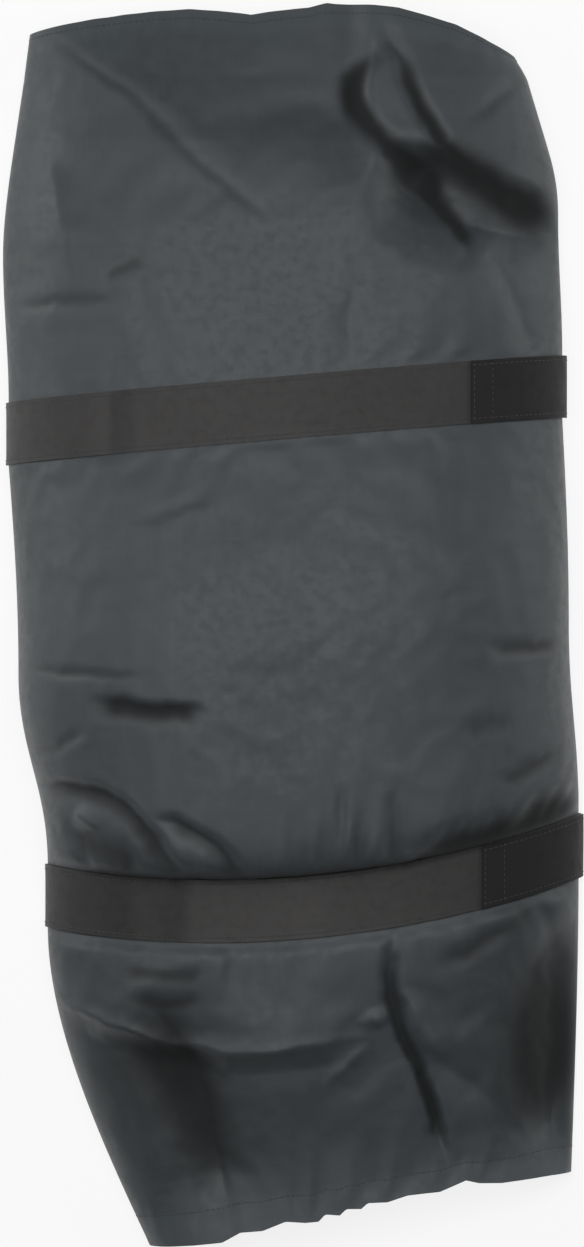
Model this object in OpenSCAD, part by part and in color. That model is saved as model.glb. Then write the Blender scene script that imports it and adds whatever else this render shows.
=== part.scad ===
// Film changing bag, lying empty on its back on a flat surface.
// X runs across the bag, +Y towards the hooded zip end, +Z up. Sizes in millimetres.

/* [Cloth] */
// Thickness of the outer cloth
cloth_t = 1.0; // [0.6:0.1:1.5]
// Thickness of the lining and sleeve cloth
lining_t = 0.8; // [0.5:0.1:1.2]
// Gap left between neighbouring layers
layer_gap = 0.3; // [0.2:0.05:0.5]
// Roundness of the bag's sides: 2 is an ellipse, more is squarer
side_power = 3; // [2.5:0.25:4]

/* [Skirt and hem] */
// Hem to lower band, along the middle
skirt_len = 165; // [140:1:220]
// Width at the hem
hem_w = 259; // [245:1:300]
// Crown height at the hem
hem_h = 34; // [26:1:38]
// Slant of the hem in degrees
hem_tilt = 9.6; // [0:0.1:12]
// Bow of the hem, away from its straight line
hem_bow = 4; // [-10:1:10]
// Sideways lean of the hem
hem_shift = 42; // [20:1:50]
// Depth of the turned hem
hem_depth = 14; // [10:1:24]

/* [Lower band] */
// Width of the bag at the lower band
waist_w = 326; // [316:1:345]
// Crown height at the lower band
waist_h = 58; // [54:1:70]
// Slant of the lower band in degrees
waist_tilt = 5.4; // [0:0.1:8]
// Bow of the lower band: negative sags towards the hem
waist_bow = -20; // [-28:1:0]
// Sideways place of the lower band
waist_shift = 13; // [4:1:20]

/* [Chamber] */
// Length between the two bands, along the middle
chamber_len = 264; // [220:1:320]
// Width at the middle of the chamber
chamber_w = 338; // [330:1:360]
// Crown height at the middle of the chamber
chamber_h = 88; // [72:1:110]
// Sideways place of the middle of the chamber
chamber_shift = 1; // [-8:1:8]
// How suddenly the chamber swells above the lower band: less is steeper
blouse_power = 0.3; // [0.3:0.05:1]

/* [Upper band] */
// Width of the bag at the upper band
collar_w = 340; // [328:1:352]
// Crown height at the upper band
collar_h = 66; // [60:1:80]
// Slant of the upper band in degrees
collar_tilt = 4.9; // [0:0.1:8]
// Sideways place of the upper band
collar_shift = -4; // [-10:1:6]

/* [Hood] */
// Upper band to the zip, along the middle
hood_len = 184; // [170:1:220]
// Upper band to the shoulder, where the sides start to draw in
shoulder_len = 88; // [60:1:105]
// Width at the shoulder
shoulder_w = 341; // [328:1:352]
// Crown height at the shoulder
shoulder_h = 66; // [60:1:78]
// Slant at the shoulder in degrees
shoulder_tilt = 4; // [0:0.1:6]
// Sideways place of the shoulder
shoulder_shift = -7; // [-12:1:4]
// Width at the inner zip
throat_w = 327; // [316:1:338]
// Crown height at the inner zip
throat_h = 57; // [53:1:64]
// Sideways place of the bag at the inner zip
throat_shift = -7; // [-12:1:0]
// Width at the outer zip
zip_end_w = 309; // [302:1:322]
// Crown height at the outer zip
zip_end_h = 52; // [49:1:60]
// Sideways place of both zips
zip_shift = -10; // [-13:1:-4]
// Hood beyond the zip, along the middle
flap_len = 47; // [40:1:60]
// Width at the edge of the hood
top_w = 298; // [284:1:310]
// Crown height at the edge of the hood
top_h = 42; // [40:1:52]
// Slant of the edge of the hood in degrees
top_tilt = -2.5; // [-4:0.1:2]
// Bow of the edge of the hood
top_bow = 24; // [10:1:28]
// Sideways place of the edge of the hood
top_shift = -12; // [-16:1:-4]

/* [Folds of the hood] */
// How far the right-hand side of the hood sinks into its fold
fold_drop = 16; // [0:1:18]
// Width of the steep side of that fold
fold_w = 27; // [20:1:36]
// Length over which the cloth comes back up below it
fold_back = 60; // [40:1:66]
// How far the end of the hood falls beyond its slanting crease
crease_drop = 8; // [0:0.5:9]
// Steepness of that fall
crease_slope = 0.17; // [0.1:0.01:0.2]
// Distance from the middle of the zips to the right-hand end of that fall
crease_reach = 62; // [40:1:80]
// Depth of the arm that forks off the fold towards the edge of the hood
fork_drop = 8; // [0:0.5:9]
// Half width of that arm
fork_w = 20; // [16:1:26]

/* [Folds of the skirt] */
// How far the long ridge across the skirt stands up
ridge_rise = 8; // [0:0.5:9]
// Width of its gentle upper side
ridge_w = 58; // [40:1:64]
// Width of its steep lower side
ridge_back = 18; // [14:1:30]
// How far the left-hand side of the skirt falls inwards
left_drop = 11; // [0:0.5:12]
// Width of that fall
left_w = 42; // [30:1:50]
// How far the right-hand side of the skirt falls away
right_drop = 12; // [0:0.5:13]
// Width of that fall
right_w = 50; // [36:1:56]

/* [Bands] */
// Width of the sewn bands
band_w = 38; // [28:1:50]
// Thickness of the sewn bands
band_t = 1.2; // [0.8:0.1:2]
// Thickness of the lapped end of a band
lap_t = 1.0; // [0.6:0.1:2]

/* [Elastic] */
// Thickness of the elastic
elastic_t = 1.2; // [0.8:0.1:1.6]
// Width of the elastic in the cuffs
elastic_w = 6; // [4:0.5:10]

/* [Sleeves] */
// Half width of a sleeve where it leaves the lining
sleeve_a = 56; // [44:1:60]
// Half height of a sleeve where it leaves the lining
sleeve_b = 20; // [14:1:22]
// Half width of a cuff
cuff_a = 45; // [35:1:50]
// Half height of a cuff
cuff_b = 10; // [8:0.5:11]
// Distance between the middles of the two sleeves at the lining
sleeve_pitch = 144; // [136:1:152]
// Distance between the middles of the two cuffs
cuff_pitch = 124; // [114:1:128]
// How far the cuffs stay back from the hem, as a share of the skirt
cuff_back = 0.3; // [0.25:0.01:0.5]

/* [Zips] */
// Distance between the stops at the two ends of each zip
zip_len = 240; // [180:3:243]
// Spacing of the teeth
tooth_pitch = 3; // [2.5:0.25:4]
// Width of one tooth along the row
tooth_w = 1.8; // [1.4:0.1:2.2]
// Height of one tooth, from its nose to the far side of its foot
tooth_h = 3.2; // [2.6:0.1:3.6]
// Thickness of one tooth, through the tape
tooth_t = 2.6; // [2.2:0.1:3.2]
// Opening between the two parted rows of teeth
zip_gap = 4.8; // [4.4:0.1:5.4]
// Thickness of the zip tapes
tape_t = 0.7; // [0.5:0.1:1]
// Width of tape beside the teeth
tape_w = 7; // [5:0.5:7.5]
// Height of the zips' middle line above the back cloth
zip_rise = 15.5; // [15:0.5:18]
// Distance between the inner and the outer zip
zip_spacing = 40; // [38:1:48]

/* [Sliders and pulls] */
// Length of a slider along the zip
slider_len = 16; // [14:0.5:20]
// Wall thickness of a slider
slider_wall = 1.2; // [1:0.1:1.4]
// Running clearance between a slider, the teeth and the pull
slider_play = 0.3; // [0.25:0.05:0.4]
// Length of a pull tab beyond its eye
pull_len = 16; // [12:0.5:18]
// Width of a pull tab
pull_w = 8; // [7.2:0.2:10]
// Thickness of a pull tab
pull_t = 1.6; // [1.2:0.1:2]
// Radius of the pull's hinge bar
pull_bar_r = 0.8; // [0.6:0.05:1]

/* [Hidden] */

// Colours of the cloth, the bands, the lining and the metal
cloth_colour = [0.23, 0.26, 0.27];
band_colour = [0.17, 0.15, 0.14];
lap_colour = [0.10, 0.09, 0.09];
lining_colour = [0.06, 0.06, 0.06];
elastic_colour = [0.12, 0.12, 0.12];
tape_colour = [0.08, 0.08, 0.08];
teeth_colour = [0.10, 0.10, 0.11];
metal_colour = [0.55, 0.55, 0.56];

// Levels: the bands lie on the surface, then the back cloth, then the lining
back_z = band_t + layer_gap;
floor_z = back_z + cloth_t;
lining_z = floor_z + layer_gap;
lining_floor_z = lining_z + lining_t;
zip_z = floor_z + zip_rise;

// Places along the middle of the bag, counted from the hem
waist_low_y = skirt_len;
waist_high_y = waist_low_y + band_w;
collar_low_y = waist_high_y + chamber_len;
collar_high_y = collar_low_y + band_w;
outer_zip_y = collar_high_y + hood_len;
inner_zip_y = outer_zip_y - zip_spacing;
chamber_tilt = (waist_tilt + collar_tilt) / 2;

// Stations of the bag, from hem to hood: [sideways place, y, half width, slant, bow, crown height]
stations = [
    [hem_shift, 0, hem_w / 2, hem_tilt, hem_bow, hem_h],
    [waist_shift, waist_low_y, waist_w / 2, waist_tilt, waist_bow, waist_h],
    [waist_shift, waist_high_y, waist_w / 2, waist_tilt, waist_bow, waist_h],
    [chamber_shift, waist_high_y + chamber_len / 2, chamber_w / 2, chamber_tilt, waist_bow / 4, chamber_h],
    [collar_shift, collar_low_y, collar_w / 2, collar_tilt, 0, collar_h],
    [collar_shift, collar_high_y, collar_w / 2, collar_tilt, 0, collar_h],
    [shoulder_shift, collar_high_y + shoulder_len, shoulder_w / 2, shoulder_tilt, 0, shoulder_h],
    [throat_shift, inner_zip_y, throat_w / 2, 0, 0, throat_h],
    [zip_shift, outer_zip_y, zip_end_w / 2, 0, 0, zip_end_h],
    [top_shift, outer_zip_y + flap_len, top_w / 2, top_tilt, top_bow, top_h]
];

// Station numbers, and the middles of the two bands, where the outer panels meet
waist_low = 1;
waist_mid = 1.5;
waist_high = 2;
chamber_mid = 3;
collar_low = 4;
collar_mid = 4.5;
collar_high = 5;
shoulder = 6;
inner_zip = 7;
outer_zip = 8;
hood_edge = 9;

// Share of a band's width that is one layer gap, and that is half the lining's thickness
gap_share = layer_gap / band_w;
panel_share = lining_t / 2 / band_w;
hem_share = hem_depth / skirt_len;

function mix(a, b, t) = a + (b - a) * t;
function backwards(list) = [for (i = [len(list) - 1:-1:0]) list[i]];
function steps(from, to, count) = [for (i = [0:count]) mix(from, to, i / count)];

// The cloth swells at once above the hem, draws in late under the upper band and towards the throat,
// and runs straight from there to the edge of the hood
function easing(k, t) =
    k == 0 ? sin(90 * t) :
    k == chamber_mid || k == shoulder ? 1 - cos(90 * t) :
    k >= inner_zip ? t : (1 - cos(180 * t)) / 2;

// The crown blouses over the lower band: it rises steeply there, before the sides widen
function crown_easing(k, t) = k == waist_high ? sin(90 * pow(t, blouse_power)) : easing(k, t);

// The rib of the bag at any place s between two stations
function rib_at(s) =
    let (k = min(floor(s), len(stations) - 2), t = s - k, e = easing(k, t),
         shares = [e, t, e, e, e, crown_easing(k, t)])
    [for (i = [0:5]) mix(stations[k][i], stations[k + 1][i], shares[i])];

// y of a rib at a distance across from its middle
function rib_y(rib, across) = rib[1] + tan(rib[3]) * across - rib[4] * pow(across / rib[2], 2);

// Angles round the crown, from the right side to the left, with even steps along the cloth
arc_steps = 10;
lap_steps = 5;
function arc_angle(i) = 90 + 90 * sign(i) * pow(abs(i) / arc_steps, side_power / 2);
arc = [for (i = [-arc_steps:arc_steps]) arc_angle(i)];
lap_arc = [for (i = [-arc_steps:lap_steps - arc_steps]) arc_angle(i)];

// Share of the half width at an angle round the crown
function crown_x(angle) = sign(cos(angle)) * pow(abs(cos(angle)), 2 / side_power);

// Folds of the cloth, between places that are given by a station and a share of the half width
function smooth(t) = let (c = min(max(t, 0), 1)) c * c * (3 - 2 * c);
function plan_point(s, share) = let (rib = rib_at(s)) [rib[0] + rib[2] * share, rib_y(rib, rib[2] * share)];
fold_from = plan_point(6.63, 0.41);
fold_to = plan_point(5.87, 0.98);
crease_from = plan_point(8.69, -0.853);
crease_to = plan_point(6.75, -0.187);
fork_from = plan_point(6.525, 0.612);
fork_to = plan_point(8.46, 0.427);
ridge_line = [for (q = [[0.775, -1.02], [0.625, -0.51], [0.615, 0.215]]) plan_point(q[0], q[1])];
left_from = plan_point(0.095, -0.578);
left_to = plan_point(0.765, -0.628);

// How far a point lies along a line, as a share of it, and how far to the left of it
function beside(p, from, to) =
    let (run = to - from, way = run / norm(run), off = p - from)
    [off * way / norm(run), off * [-way.y, way.x]];

// Share of a fold's depth at a distance to the left of its line, or to the right where that is below zero
function fall(out, left, right) = out > 0 ? 1 - smooth(out / left) : pow(max(0, 1 + out / right), 1.6);

// The cloth drops steeply into the fold from above, comes back gently below it, and levels out towards the side
function fold_depth(p) =
    let (b = beside(p, fold_from, fold_to))
    fold_drop * smooth((b[0] + 0.15) / 0.4) * (1 - smooth((b[0] - 0.2) / 0.5) / 2) * fall(b[1], fold_w, fold_back);

// A soft groove forks off it
function fork_depth(p) =
    let (b = beside(p, fork_from, fork_to))
    fork_drop * smooth(b[0] / 0.3) * smooth((1 - b[0]) / 0.3) * (1 - smooth(abs(b[1]) / fork_w));

// The end of the hood falls away beyond its crease, but not over the lobe above the inner zip
function crease_depth(p) =
    let (b = beside(p, crease_from, crease_to),
         lobe = max(smooth((p.y - inner_zip_y + 12) / 24), smooth((crease_to.x + 10 - p.x) / 20)))
    crease_drop * (1 - exp(-crease_slope * max(b[1], 0) / max(crease_drop, 0.1)))
        * lobe * smooth((zip_shift + crease_reach - p.x) / 20);

// The skirt has a long ridge across it, and falls inwards on the left and away on the right
function ridge_height(p) =
    let (out = p.y - lookup(p.x, ridge_line))
    ridge_rise * smooth((p.x - ridge_line[0].x) / 50) * smooth((ridge_line[2].x - p.x) / 50) * fall(out, ridge_w, ridge_back);
function left_depth(p) =
    let (b = beside(p, left_from, left_to))
    left_drop * smooth((b[0] + 0.1) / 0.3) * smooth((1.2 - b[0]) / 0.3) * fall(b[1], left_w, left_w);
function right_depth(rib, p) = right_drop * fall(rib[0] + rib[2] - p.x, right_w, 1);
function skirt_depth(rib, p) =
    smooth((rib[1] - hem_depth) / 45) * smooth((waist_low_y - rib[1]) / 45)
        * (left_depth(p) + right_depth(rib, p) - ridge_height(p));

// How far the folds go down at a place; the bands and the hem hold the cloth smooth
function cloth_depth(rib, p) =
    rib[1] < waist_low_y ? skirt_depth(rib, p) :
    rib[1] < collar_high_y || p.y < collar_high_y ? 0 : fold_depth(p) + fork_depth(p) + crease_depth(p);

// A point on the crown of a rib, moved outwards by grow, with its foot at the level base
function crown_point(rib, angle, grow, base) =
    let (x = rib[2] * crown_x(angle), y = rib_y(rib, x))
    [rib[0] + x + grow * crown_x(angle), y,
     base + (rib[5] - (base - floor_z) + grow) * sin(angle)
        - smooth(2 * sin(angle)) * cloth_depth(rib, [rib[0] + x, y])];
function crown_row(s, grow, base, angles = arc) =
    let (rib = rib_at(s)) [for (a = angles) crown_point(rib, a, grow, base)];

// The same points pressed flat at a level
function flat_row(s, grow, level) = [for (p = crown_row(s, grow, level)) [p.x, p.y, level]];

// Middle of the whole bag seen from above, where its origin lies
edge_points = [for (s = steps(0, hood_edge, 10 * hood_edge), a = arc)
    crown_point(rib_at(s), a, s >= waist_low && s <= collar_high ? layer_gap + band_t : 0, floor_z)];
edge_x = [for (p = edge_points) p.x];
edge_y = [for (p = edge_points) p.y];
origin = [(min(edge_x) + max(edge_x)) / 2, (min(edge_y) + max(edge_y)) / 2, 0];

module at_origin() {
    translate(-origin) children();
}

// Two triangles between four point numbers
function two_faces(a, b, c, d) = [[a, b, c], [a, c, d]];

// Solid between two sheets of points, row by row, closed along both edges and both ends.
// Both sheets are cut along the same diagonals, so that nested sheets stay one gap apart
module sheet_solid(upper, lower) {
    m = len(upper[0]);
    n = 2 * m;
    last = (len(upper) - 1) * n;
    points = [for (i = [0:len(upper) - 1]) each concat(upper[i], backwards(lower[i]))];
    walls = [for (i = [0:len(upper) - 2], j = [0:n - 1])
        let (a = i * n + j, b = i * n + (j + 1) % n)
        each j < m ? two_faces(a, b, b + n, a + n) : two_faces(b, b + n, a + n, a)];
    ends = [for (j = [0:m - 2]) each concat(
        two_faces(j + 1, j, n - 1 - j, n - 2 - j),
        two_faces(last + j, last + j + 1, last + n - 2 - j, last + n - 1 - j))];
    polyhedron(points, concat(walls, ends));
}

// Tube between two closed loops of points, row by row
module loop_solid(outer, inner) {
    n = len(outer[0]);
    half = len(outer) * n;
    last = half - n;
    points = concat([for (row = outer) each row], [for (row = inner) each row]);
    walls = [for (i = [0:len(outer) - 2], j = [0:n - 1])
        let (a = i * n + j, b = i * n + (j + 1) % n)
        each concat(two_faces(a, b, b + n, a + n),
                    two_faces(half + a, half + a + n, half + b + n, half + b))];
    ends = [for (a = [0:n - 1])
        let (b = (a + 1) % n)
        each concat(two_faces(b, a, half + a, half + b),
                    two_faces(last + a, last + b, half + last + b, half + last + a))];
    polyhedron(points, concat(walls, ends));
}

// Flat sheet under the crown between two places along the bag
module flat_sheet(places, grow, level, thick) {
    end = len(places) - 1;
    left = [for (i = [1:end - 1]) flat_row(places[i], grow, 0)[2 * arc_steps]];
    right = [for (i = [end - 1:-1:1]) flat_row(places[i], grow, 0)[0]];
    rim = concat(flat_row(places[0], grow, 0), left, backwards(flat_row(places[end], grow, 0)), right);
    translate([0, 0, level]) linear_extrude(thick) polygon([for (p = rim) [p.x, p.y]]);
}

// Outer panels: a crowned front and a flat back for the skirt, the chamber and the hood

skirt_rows = concat([0], steps(hem_share, waist_low, 12), [waist_mid - gap_share / 2]);
chamber_rows = concat([waist_mid + gap_share / 2], steps(waist_high, collar_low, 16), [collar_mid - gap_share / 2]);
hood_steps = 5;
hood_rows = concat([collar_mid + gap_share / 2], steps(collar_high, outer_zip, hood_steps * (outer_zip - collar_high)));
flap_rows = [for (t = [1:4]) outer_zip + t / 4];

module front_panel(places) {
    color(cloth_colour) at_origin() sheet_solid(
        [for (s = places) crown_row(s, 0, floor_z)],
        [for (s = places) crown_row(s, -cloth_t, floor_z)]);
}

module back_panel(places) {
    color(cloth_colour) at_origin() flat_sheet(places, 0, back_z, cloth_t);
}

module hood_front() front_panel(concat(hood_rows, flap_rows));
module hood_back() back_panel(hood_rows);
module chamber_front() front_panel(chamber_rows);
module chamber_back() back_panel(chamber_rows);
module skirt_front() front_panel(skirt_rows);
module skirt_back() back_panel(skirt_rows);

// Bands sewn right round the bag over the seams between the panels

function band_loop(s, grow, level) = concat(crown_row(s, grow, floor_z), backwards(flat_row(s, grow, level)));

module band(low, high) {
    color(band_colour) at_origin() loop_solid(
        [for (s = [low, high]) band_loop(s, layer_gap + band_t, 0)],
        [for (s = [low, high]) band_loop(s, layer_gap, band_t)]);
}

// Lapped end of a band, on the right-hand side
module band_lap(low, high) {
    seat = layer_gap + band_t + layer_gap;
    color(lap_colour) at_origin() sheet_solid(
        [for (s = [low, high]) crown_row(s, seat + lap_t, floor_z, lap_arc)],
        [for (s = [low, high]) crown_row(s, seat, floor_z, lap_arc)]);
}

module upper_band() band(collar_low, collar_high);
module upper_band_lap() band_lap(collar_low, collar_high);
module lower_band() band(waist_low, waist_high);
module lower_band_lap() band_lap(waist_low, waist_high);

// Turned hem of the skirt: elastic between the skirt and a facing

function inner_loop(s, grow, base) =
    let (under = flat_row(s, grow, base))
    concat(crown_row(s, grow, base), [for (i = [2 * arc_steps - 1:-1:1]) under[i]]);

module hem_loop(depth, thick) {
    places = [hem_share * 0.1, hem_share * 0.9];
    at_origin() loop_solid(
        [for (s = places) inner_loop(s, -cloth_t - depth, floor_z + depth)],
        [for (s = places) inner_loop(s, -cloth_t - depth - thick, floor_z + depth + thick)]);
}

module hem_elastic() color(elastic_colour) hem_loop(layer_gap, elastic_t);
module hem_facing() color(cloth_colour) hem_loop(2 * layer_gap + elastic_t, cloth_t);

// Lining bag, open only at the inner zip and at the two sleeves

lining_in = cloth_t + layer_gap;
lining_room = lining_in + lining_t + layer_gap;
lining_rows = concat(
    [waist_mid + panel_share + gap_share], steps(waist_high, collar_low, 16),
    steps(collar_high, inner_zip, hood_steps * (inner_zip - collar_high)));

module lining_front() {
    color(lining_colour) at_origin() sheet_solid(
        [for (s = lining_rows) crown_row(s, -lining_in, floor_z)],
        [for (s = lining_rows) crown_row(s, -lining_in - lining_t, floor_z)]);
}

module lining_back() {
    color(lining_colour) at_origin() flat_sheet(lining_rows, -lining_room, lining_z, lining_t);
}

// Sleeves: the ring of a sleeve at a share of the way from the lining to its cuff
sleeve_sides = 24;
waist_rib = rib_at(waist_mid);
cuff_rib = rib_at(cuff_back);
sleeve_z = lining_floor_z + 2 * layer_gap + sleeve_b;
cuff_z = floor_z + 4 * layer_gap + elastic_t + cloth_t + cuff_b;

function sleeve_ring(side, share, shrink) =
    let (rib = rib_at(mix(waist_mid - panel_share - 2 * gap_share, cuff_back, share)),
         middle = mix(waist_rib[0] + side * sleeve_pitch / 2, cuff_rib[0] + side * cuff_pitch / 2, share),
         level = mix(sleeve_z, cuff_z, share),
         a = mix(sleeve_a, cuff_a, share) - shrink,
         b = mix(sleeve_b, cuff_b, share) - shrink)
    [for (i = [0:sleeve_sides - 1])
        let (angle = -360 * i / sleeve_sides, x = middle + a * cos(angle))
        [x, rib_y(rib, x - rib[0]), level + b * sin(angle)]];

// Panel that closes the lining and carries the two sleeves
module sleeve_panel() {
    places = [waist_mid - panel_share, waist_mid + panel_share];
    color(lining_colour) at_origin() difference() {
        sheet_solid(
            [for (s = places) crown_row(s, -lining_in, lining_z)],
            [for (s = places) flat_row(s, -lining_in, lining_z)]);
        for (side = [-1, 1])
            translate([0, waist_low_y + band_w / 2, 0]) rotate([90, 0, 0])
                linear_extrude(waist_w, center = true)
                    polygon([for (p = sleeve_ring(side, 0, lining_t)) [p.x, p.z]]);
    }
}

module sleeve(side) {
    shares = steps(0, 1, 5);
    color(lining_colour) at_origin() loop_solid(
        [for (t = shares) sleeve_ring(side, t, 0)],
        [for (t = shares) sleeve_ring(side, t, lining_t)]);
}

module left_sleeve() sleeve(-1);
module right_sleeve() sleeve(1);

// Cuffs: a folded casing at the end of each sleeve, with the elastic inside it

casing_t = 2 * lining_t + 2 * layer_gap + elastic_t;
casing_len = elastic_w + 2 * layer_gap + lining_t;

// A profile of [inwards, towards the hem] points swept round the end of a sleeve
module round_cuff(side, profile) {
    m = len(profile);
    rings = [for (p = profile) [for (q = sleeve_ring(side, 1, p.x)) q - [0, p.y, 0]]];
    points = [for (i = [0:sleeve_sides - 1]) each [for (ring = rings) ring[i]]];
    faces = [for (i = [0:sleeve_sides - 1], j = [0:m - 1])
        let (k = (i + 1) % sleeve_sides, l = (j + 1) % m)
        each two_faces(i * m + j, k * m + j, k * m + l, i * m + l)];
    at_origin() polyhedron(points, faces);
}

module cuff_casing(side) {
    t = lining_t;
    color(lining_colour) round_cuff(side, [
        [0, layer_gap], [t, layer_gap], [t, casing_len - t], [casing_t - t, casing_len - t],
        [casing_t - t, layer_gap], [casing_t, layer_gap], [casing_t, casing_len], [0, casing_len]]);
}

module cuff_elastic(side) {
    inside = lining_t + layer_gap;
    end = casing_len - lining_t - layer_gap;
    color(elastic_colour) round_cuff(side, [
        [inside, end - elastic_w], [inside + elastic_t, end - elastic_w],
        [inside + elastic_t, end], [inside, end]]);
}

module left_cuff_casing() cuff_casing(-1);
module right_cuff_casing() cuff_casing(1);
module left_cuff_elastic() cuff_elastic(-1);
module right_cuff_elastic() cuff_elastic(1);

// Zips: each is set behind a slot in its end panel, with its two rows of teeth parted

row_z = zip_gap / 2;
foot_z = row_z + tooth_h;
tape_grip = 0.6 * tooth_h;
tape_edge = foot_z - tape_grip;
tape_mid = -cloth_t - layer_gap - tape_t / 2;
tape_fit = 0.05;
stop_len = 3;
tape_len = zip_len + 4 * stop_len;
slot_len = tape_len - stop_len;
slider_half = foot_z + slider_play + slider_wall;
slot_half = slider_half + layer_gap;
teeth_count = floor((zip_len - stop_len - tooth_pitch) / tooth_pitch);

// Puts a part, drawn with its front towards +Y, at one of the two zips
module at_zip(y) {
    at_origin() translate([zip_shift, y, zip_z]) children();
}

// Cloth end of the bag or of its lining, with the slot for the zip
module zip_panel(s, inset, base) {
    front = crown_row(s, -inset, floor_z);
    behind = crown_row(s - 1 / hood_steps, -inset, floor_z);
    share = cloth_t / (rib_at(s)[1] - rib_at(s - 1 / hood_steps)[1]);
    at_origin() translate([0, rib_at(s)[1], 0]) rotate([90, 0, 0]) linear_extrude(cloth_t) difference() {
        polygon([for (i = [0:len(front) - 1])
            [front[i].x, max(min(front[i].z, mix(front[i].z, behind[i].z, share)), base)]]);
        translate([zip_shift, zip_z]) square([slot_len, 2 * slot_half], center = true);
    }
}

module zip_tape(side) {
    translate([0, tape_mid, side * (foot_z + tape_edge + tape_w) / 2])
        cube([tape_len, tape_t, tape_grip + tape_w], center = true);
}

// Room for both tapes in what is clamped on them
module tape_slots() {
    for (side = [-1, 1])
        translate([0, tape_mid, side * (tape_edge + tape_w - tape_fit)])
            cube([2 * tape_len, tape_t + 2 * tape_fit, 2 * tape_w], center = true);
}

// One tooth: a round nose towards the gap and a foot clamped on the tape
module tooth(side) {
    nose_r = tooth_w / 2;
    foot_w = 0.8 * tooth_w;
    translate([0, tape_mid, side * (row_z + nose_r)]) {
        rotate([90, 0, 0]) cylinder(r = nose_r, h = tooth_t, center = true, $fn = 24);
        translate([0, 0, side * (tooth_h - nose_r) / 2])
            cube([foot_w, tooth_t, tooth_h - nose_r], center = true);
    }
}

// A row of teeth: the two rows are half a pitch apart, so that they mesh when closed
module teeth_row(side) {
    first = (stop_len - zip_len + tooth_pitch) / 2 + (side > 0 ? tooth_pitch / 2 : 0);
    difference() {
        for (i = [0:teeth_count - 1])
            translate([first + i * tooth_pitch, 0, 0]) tooth(side);
        tape_slots();
    }
}

// A joining stop where the slider parks, and one end stop on each tape
module zip_stops() {
    difference() {
        union() {
            translate([-zip_len / 2, tape_mid, 0]) cube([stop_len, tooth_t, 2 * foot_z], center = true);
            for (side = [-1, 1])
                translate([zip_len / 2, tape_mid, side * (row_z + tooth_h / 2)])
                    cube([stop_len, tooth_t, tooth_h], center = true);
        }
        tape_slots();
    }
}

// Slider: two shield-shaped plates joined by a wedge that runs between the rows
slider_x = -zip_len / 2 + stop_len + slider_len / 2;
plate_gap = tooth_t / 2 + slider_play;
flange = plate_gap - tape_t / 2 - slider_play;
wedge_w = zip_gap - 2 * slider_play;
bridge_w = 3.6;
bridge_len = 10;
bridge_wall = 1.1;
bar_room = max(2 * pull_bar_r, pull_t) + 2 * slider_play;
bar_y = tape_mid + plate_gap + slider_wall + bar_room / 2;

module shield() {
    intersection() {
        square([slider_len, 2 * slider_half], center = true);
        circle(r = 0.62 * slider_len, $fn = 64);
    }
}

// One plate with its two flanges, which turn in behind the teeth
module slider_plate(side) {
    rotate([90, 0, 0]) {
        translate([0, 0, -side * (plate_gap + slider_wall / 2)])
            linear_extrude(slider_wall, center = true) shield();
        translate([0, 0, -side * (plate_gap + slider_wall - (flange + slider_wall) / 2)])
            linear_extrude(flange + slider_wall, center = true) difference() {
                shield();
                square([2 * slider_len, 2 * (foot_z + slider_play)], center = true);
            }
    }
}

// Arch over the front plate that holds the pull's hinge bar
module bridge() {
    outer_h = bar_room + bridge_wall;
    translate([0, plate_gap + slider_wall, 0]) linear_extrude(bridge_w, center = true) difference() {
        union() {
            for (end = [-1, 1])
                translate([end * (bridge_len - outer_h) / 2, outer_h / 2]) circle(d = outer_h, $fn = 48);
            translate([-(bridge_len - outer_h) / 2, 0]) square([bridge_len - outer_h, outer_h]);
            translate([-bridge_len / 2, 0]) square([bridge_len, outer_h / 2]);
        }
        translate([-bridge_len / 2 + bridge_wall, -bridge_wall])
            square([bridge_len - 2 * bridge_wall, bar_room + bridge_wall]);
    }
}

module slider() {
    translate([slider_x, tape_mid, 0]) {
        for (side = [-1, 1]) slider_plate(side);
        rotate([90, 0, 0]) linear_extrude(2 * plate_gap + slider_wall, center = true)
            polygon([[-slider_len / 2, 0], [0, -wedge_w / 2], [slider_len / 2, 0], [0, wedge_w / 2]]);
        bridge();
    }
}

// Pull: a hinge bar under the bridge, an arm past each side of it, and a tab with a finger slot
arm_z = bridge_w / 2 + slider_play;
arm_w = pull_w / 2 - arm_z;
eye_len = bridge_len / 2 + bridge_wall;

module pull() {
    translate([slider_x, bar_y, 0]) {
        cylinder(r = pull_bar_r, h = pull_w, center = true, $fn = 32);
        for (side = [-1, 1])
            translate([0, -pull_t / 2, side * (arm_z + arm_w / 2) - arm_w / 2]) cube([eye_len, pull_t, arm_w]);
        translate([eye_len, 0, 0]) rotate([90, 0, 0]) linear_extrude(pull_t, center = true) difference() {
            union() {
                translate([0, -pull_w / 2]) square([pull_len - pull_w / 2, pull_w]);
                translate([pull_len - pull_w / 2, 0]) circle(d = pull_w, $fn = 64);
            }
            translate([pull_len / 4, -pull_w / 6]) square([pull_len / 2, pull_w / 3]);
        }
    }
}

module outer_zip_panel() color(cloth_colour) zip_panel(outer_zip, lining_in, floor_z);
module outer_zip_upper_tape() color(tape_colour) at_zip(outer_zip_y) zip_tape(1);
module outer_zip_lower_tape() color(tape_colour) at_zip(outer_zip_y) zip_tape(-1);
module outer_zip_upper_teeth() color(teeth_colour) at_zip(outer_zip_y) teeth_row(1);
module outer_zip_lower_teeth() color(teeth_colour) at_zip(outer_zip_y) teeth_row(-1);
module outer_zip_stops() color(metal_colour) at_zip(outer_zip_y) zip_stops();
module outer_zip_slider() color(metal_colour) at_zip(outer_zip_y) slider();
module outer_zip_pull() color(metal_colour) at_zip(outer_zip_y) pull();

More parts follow.
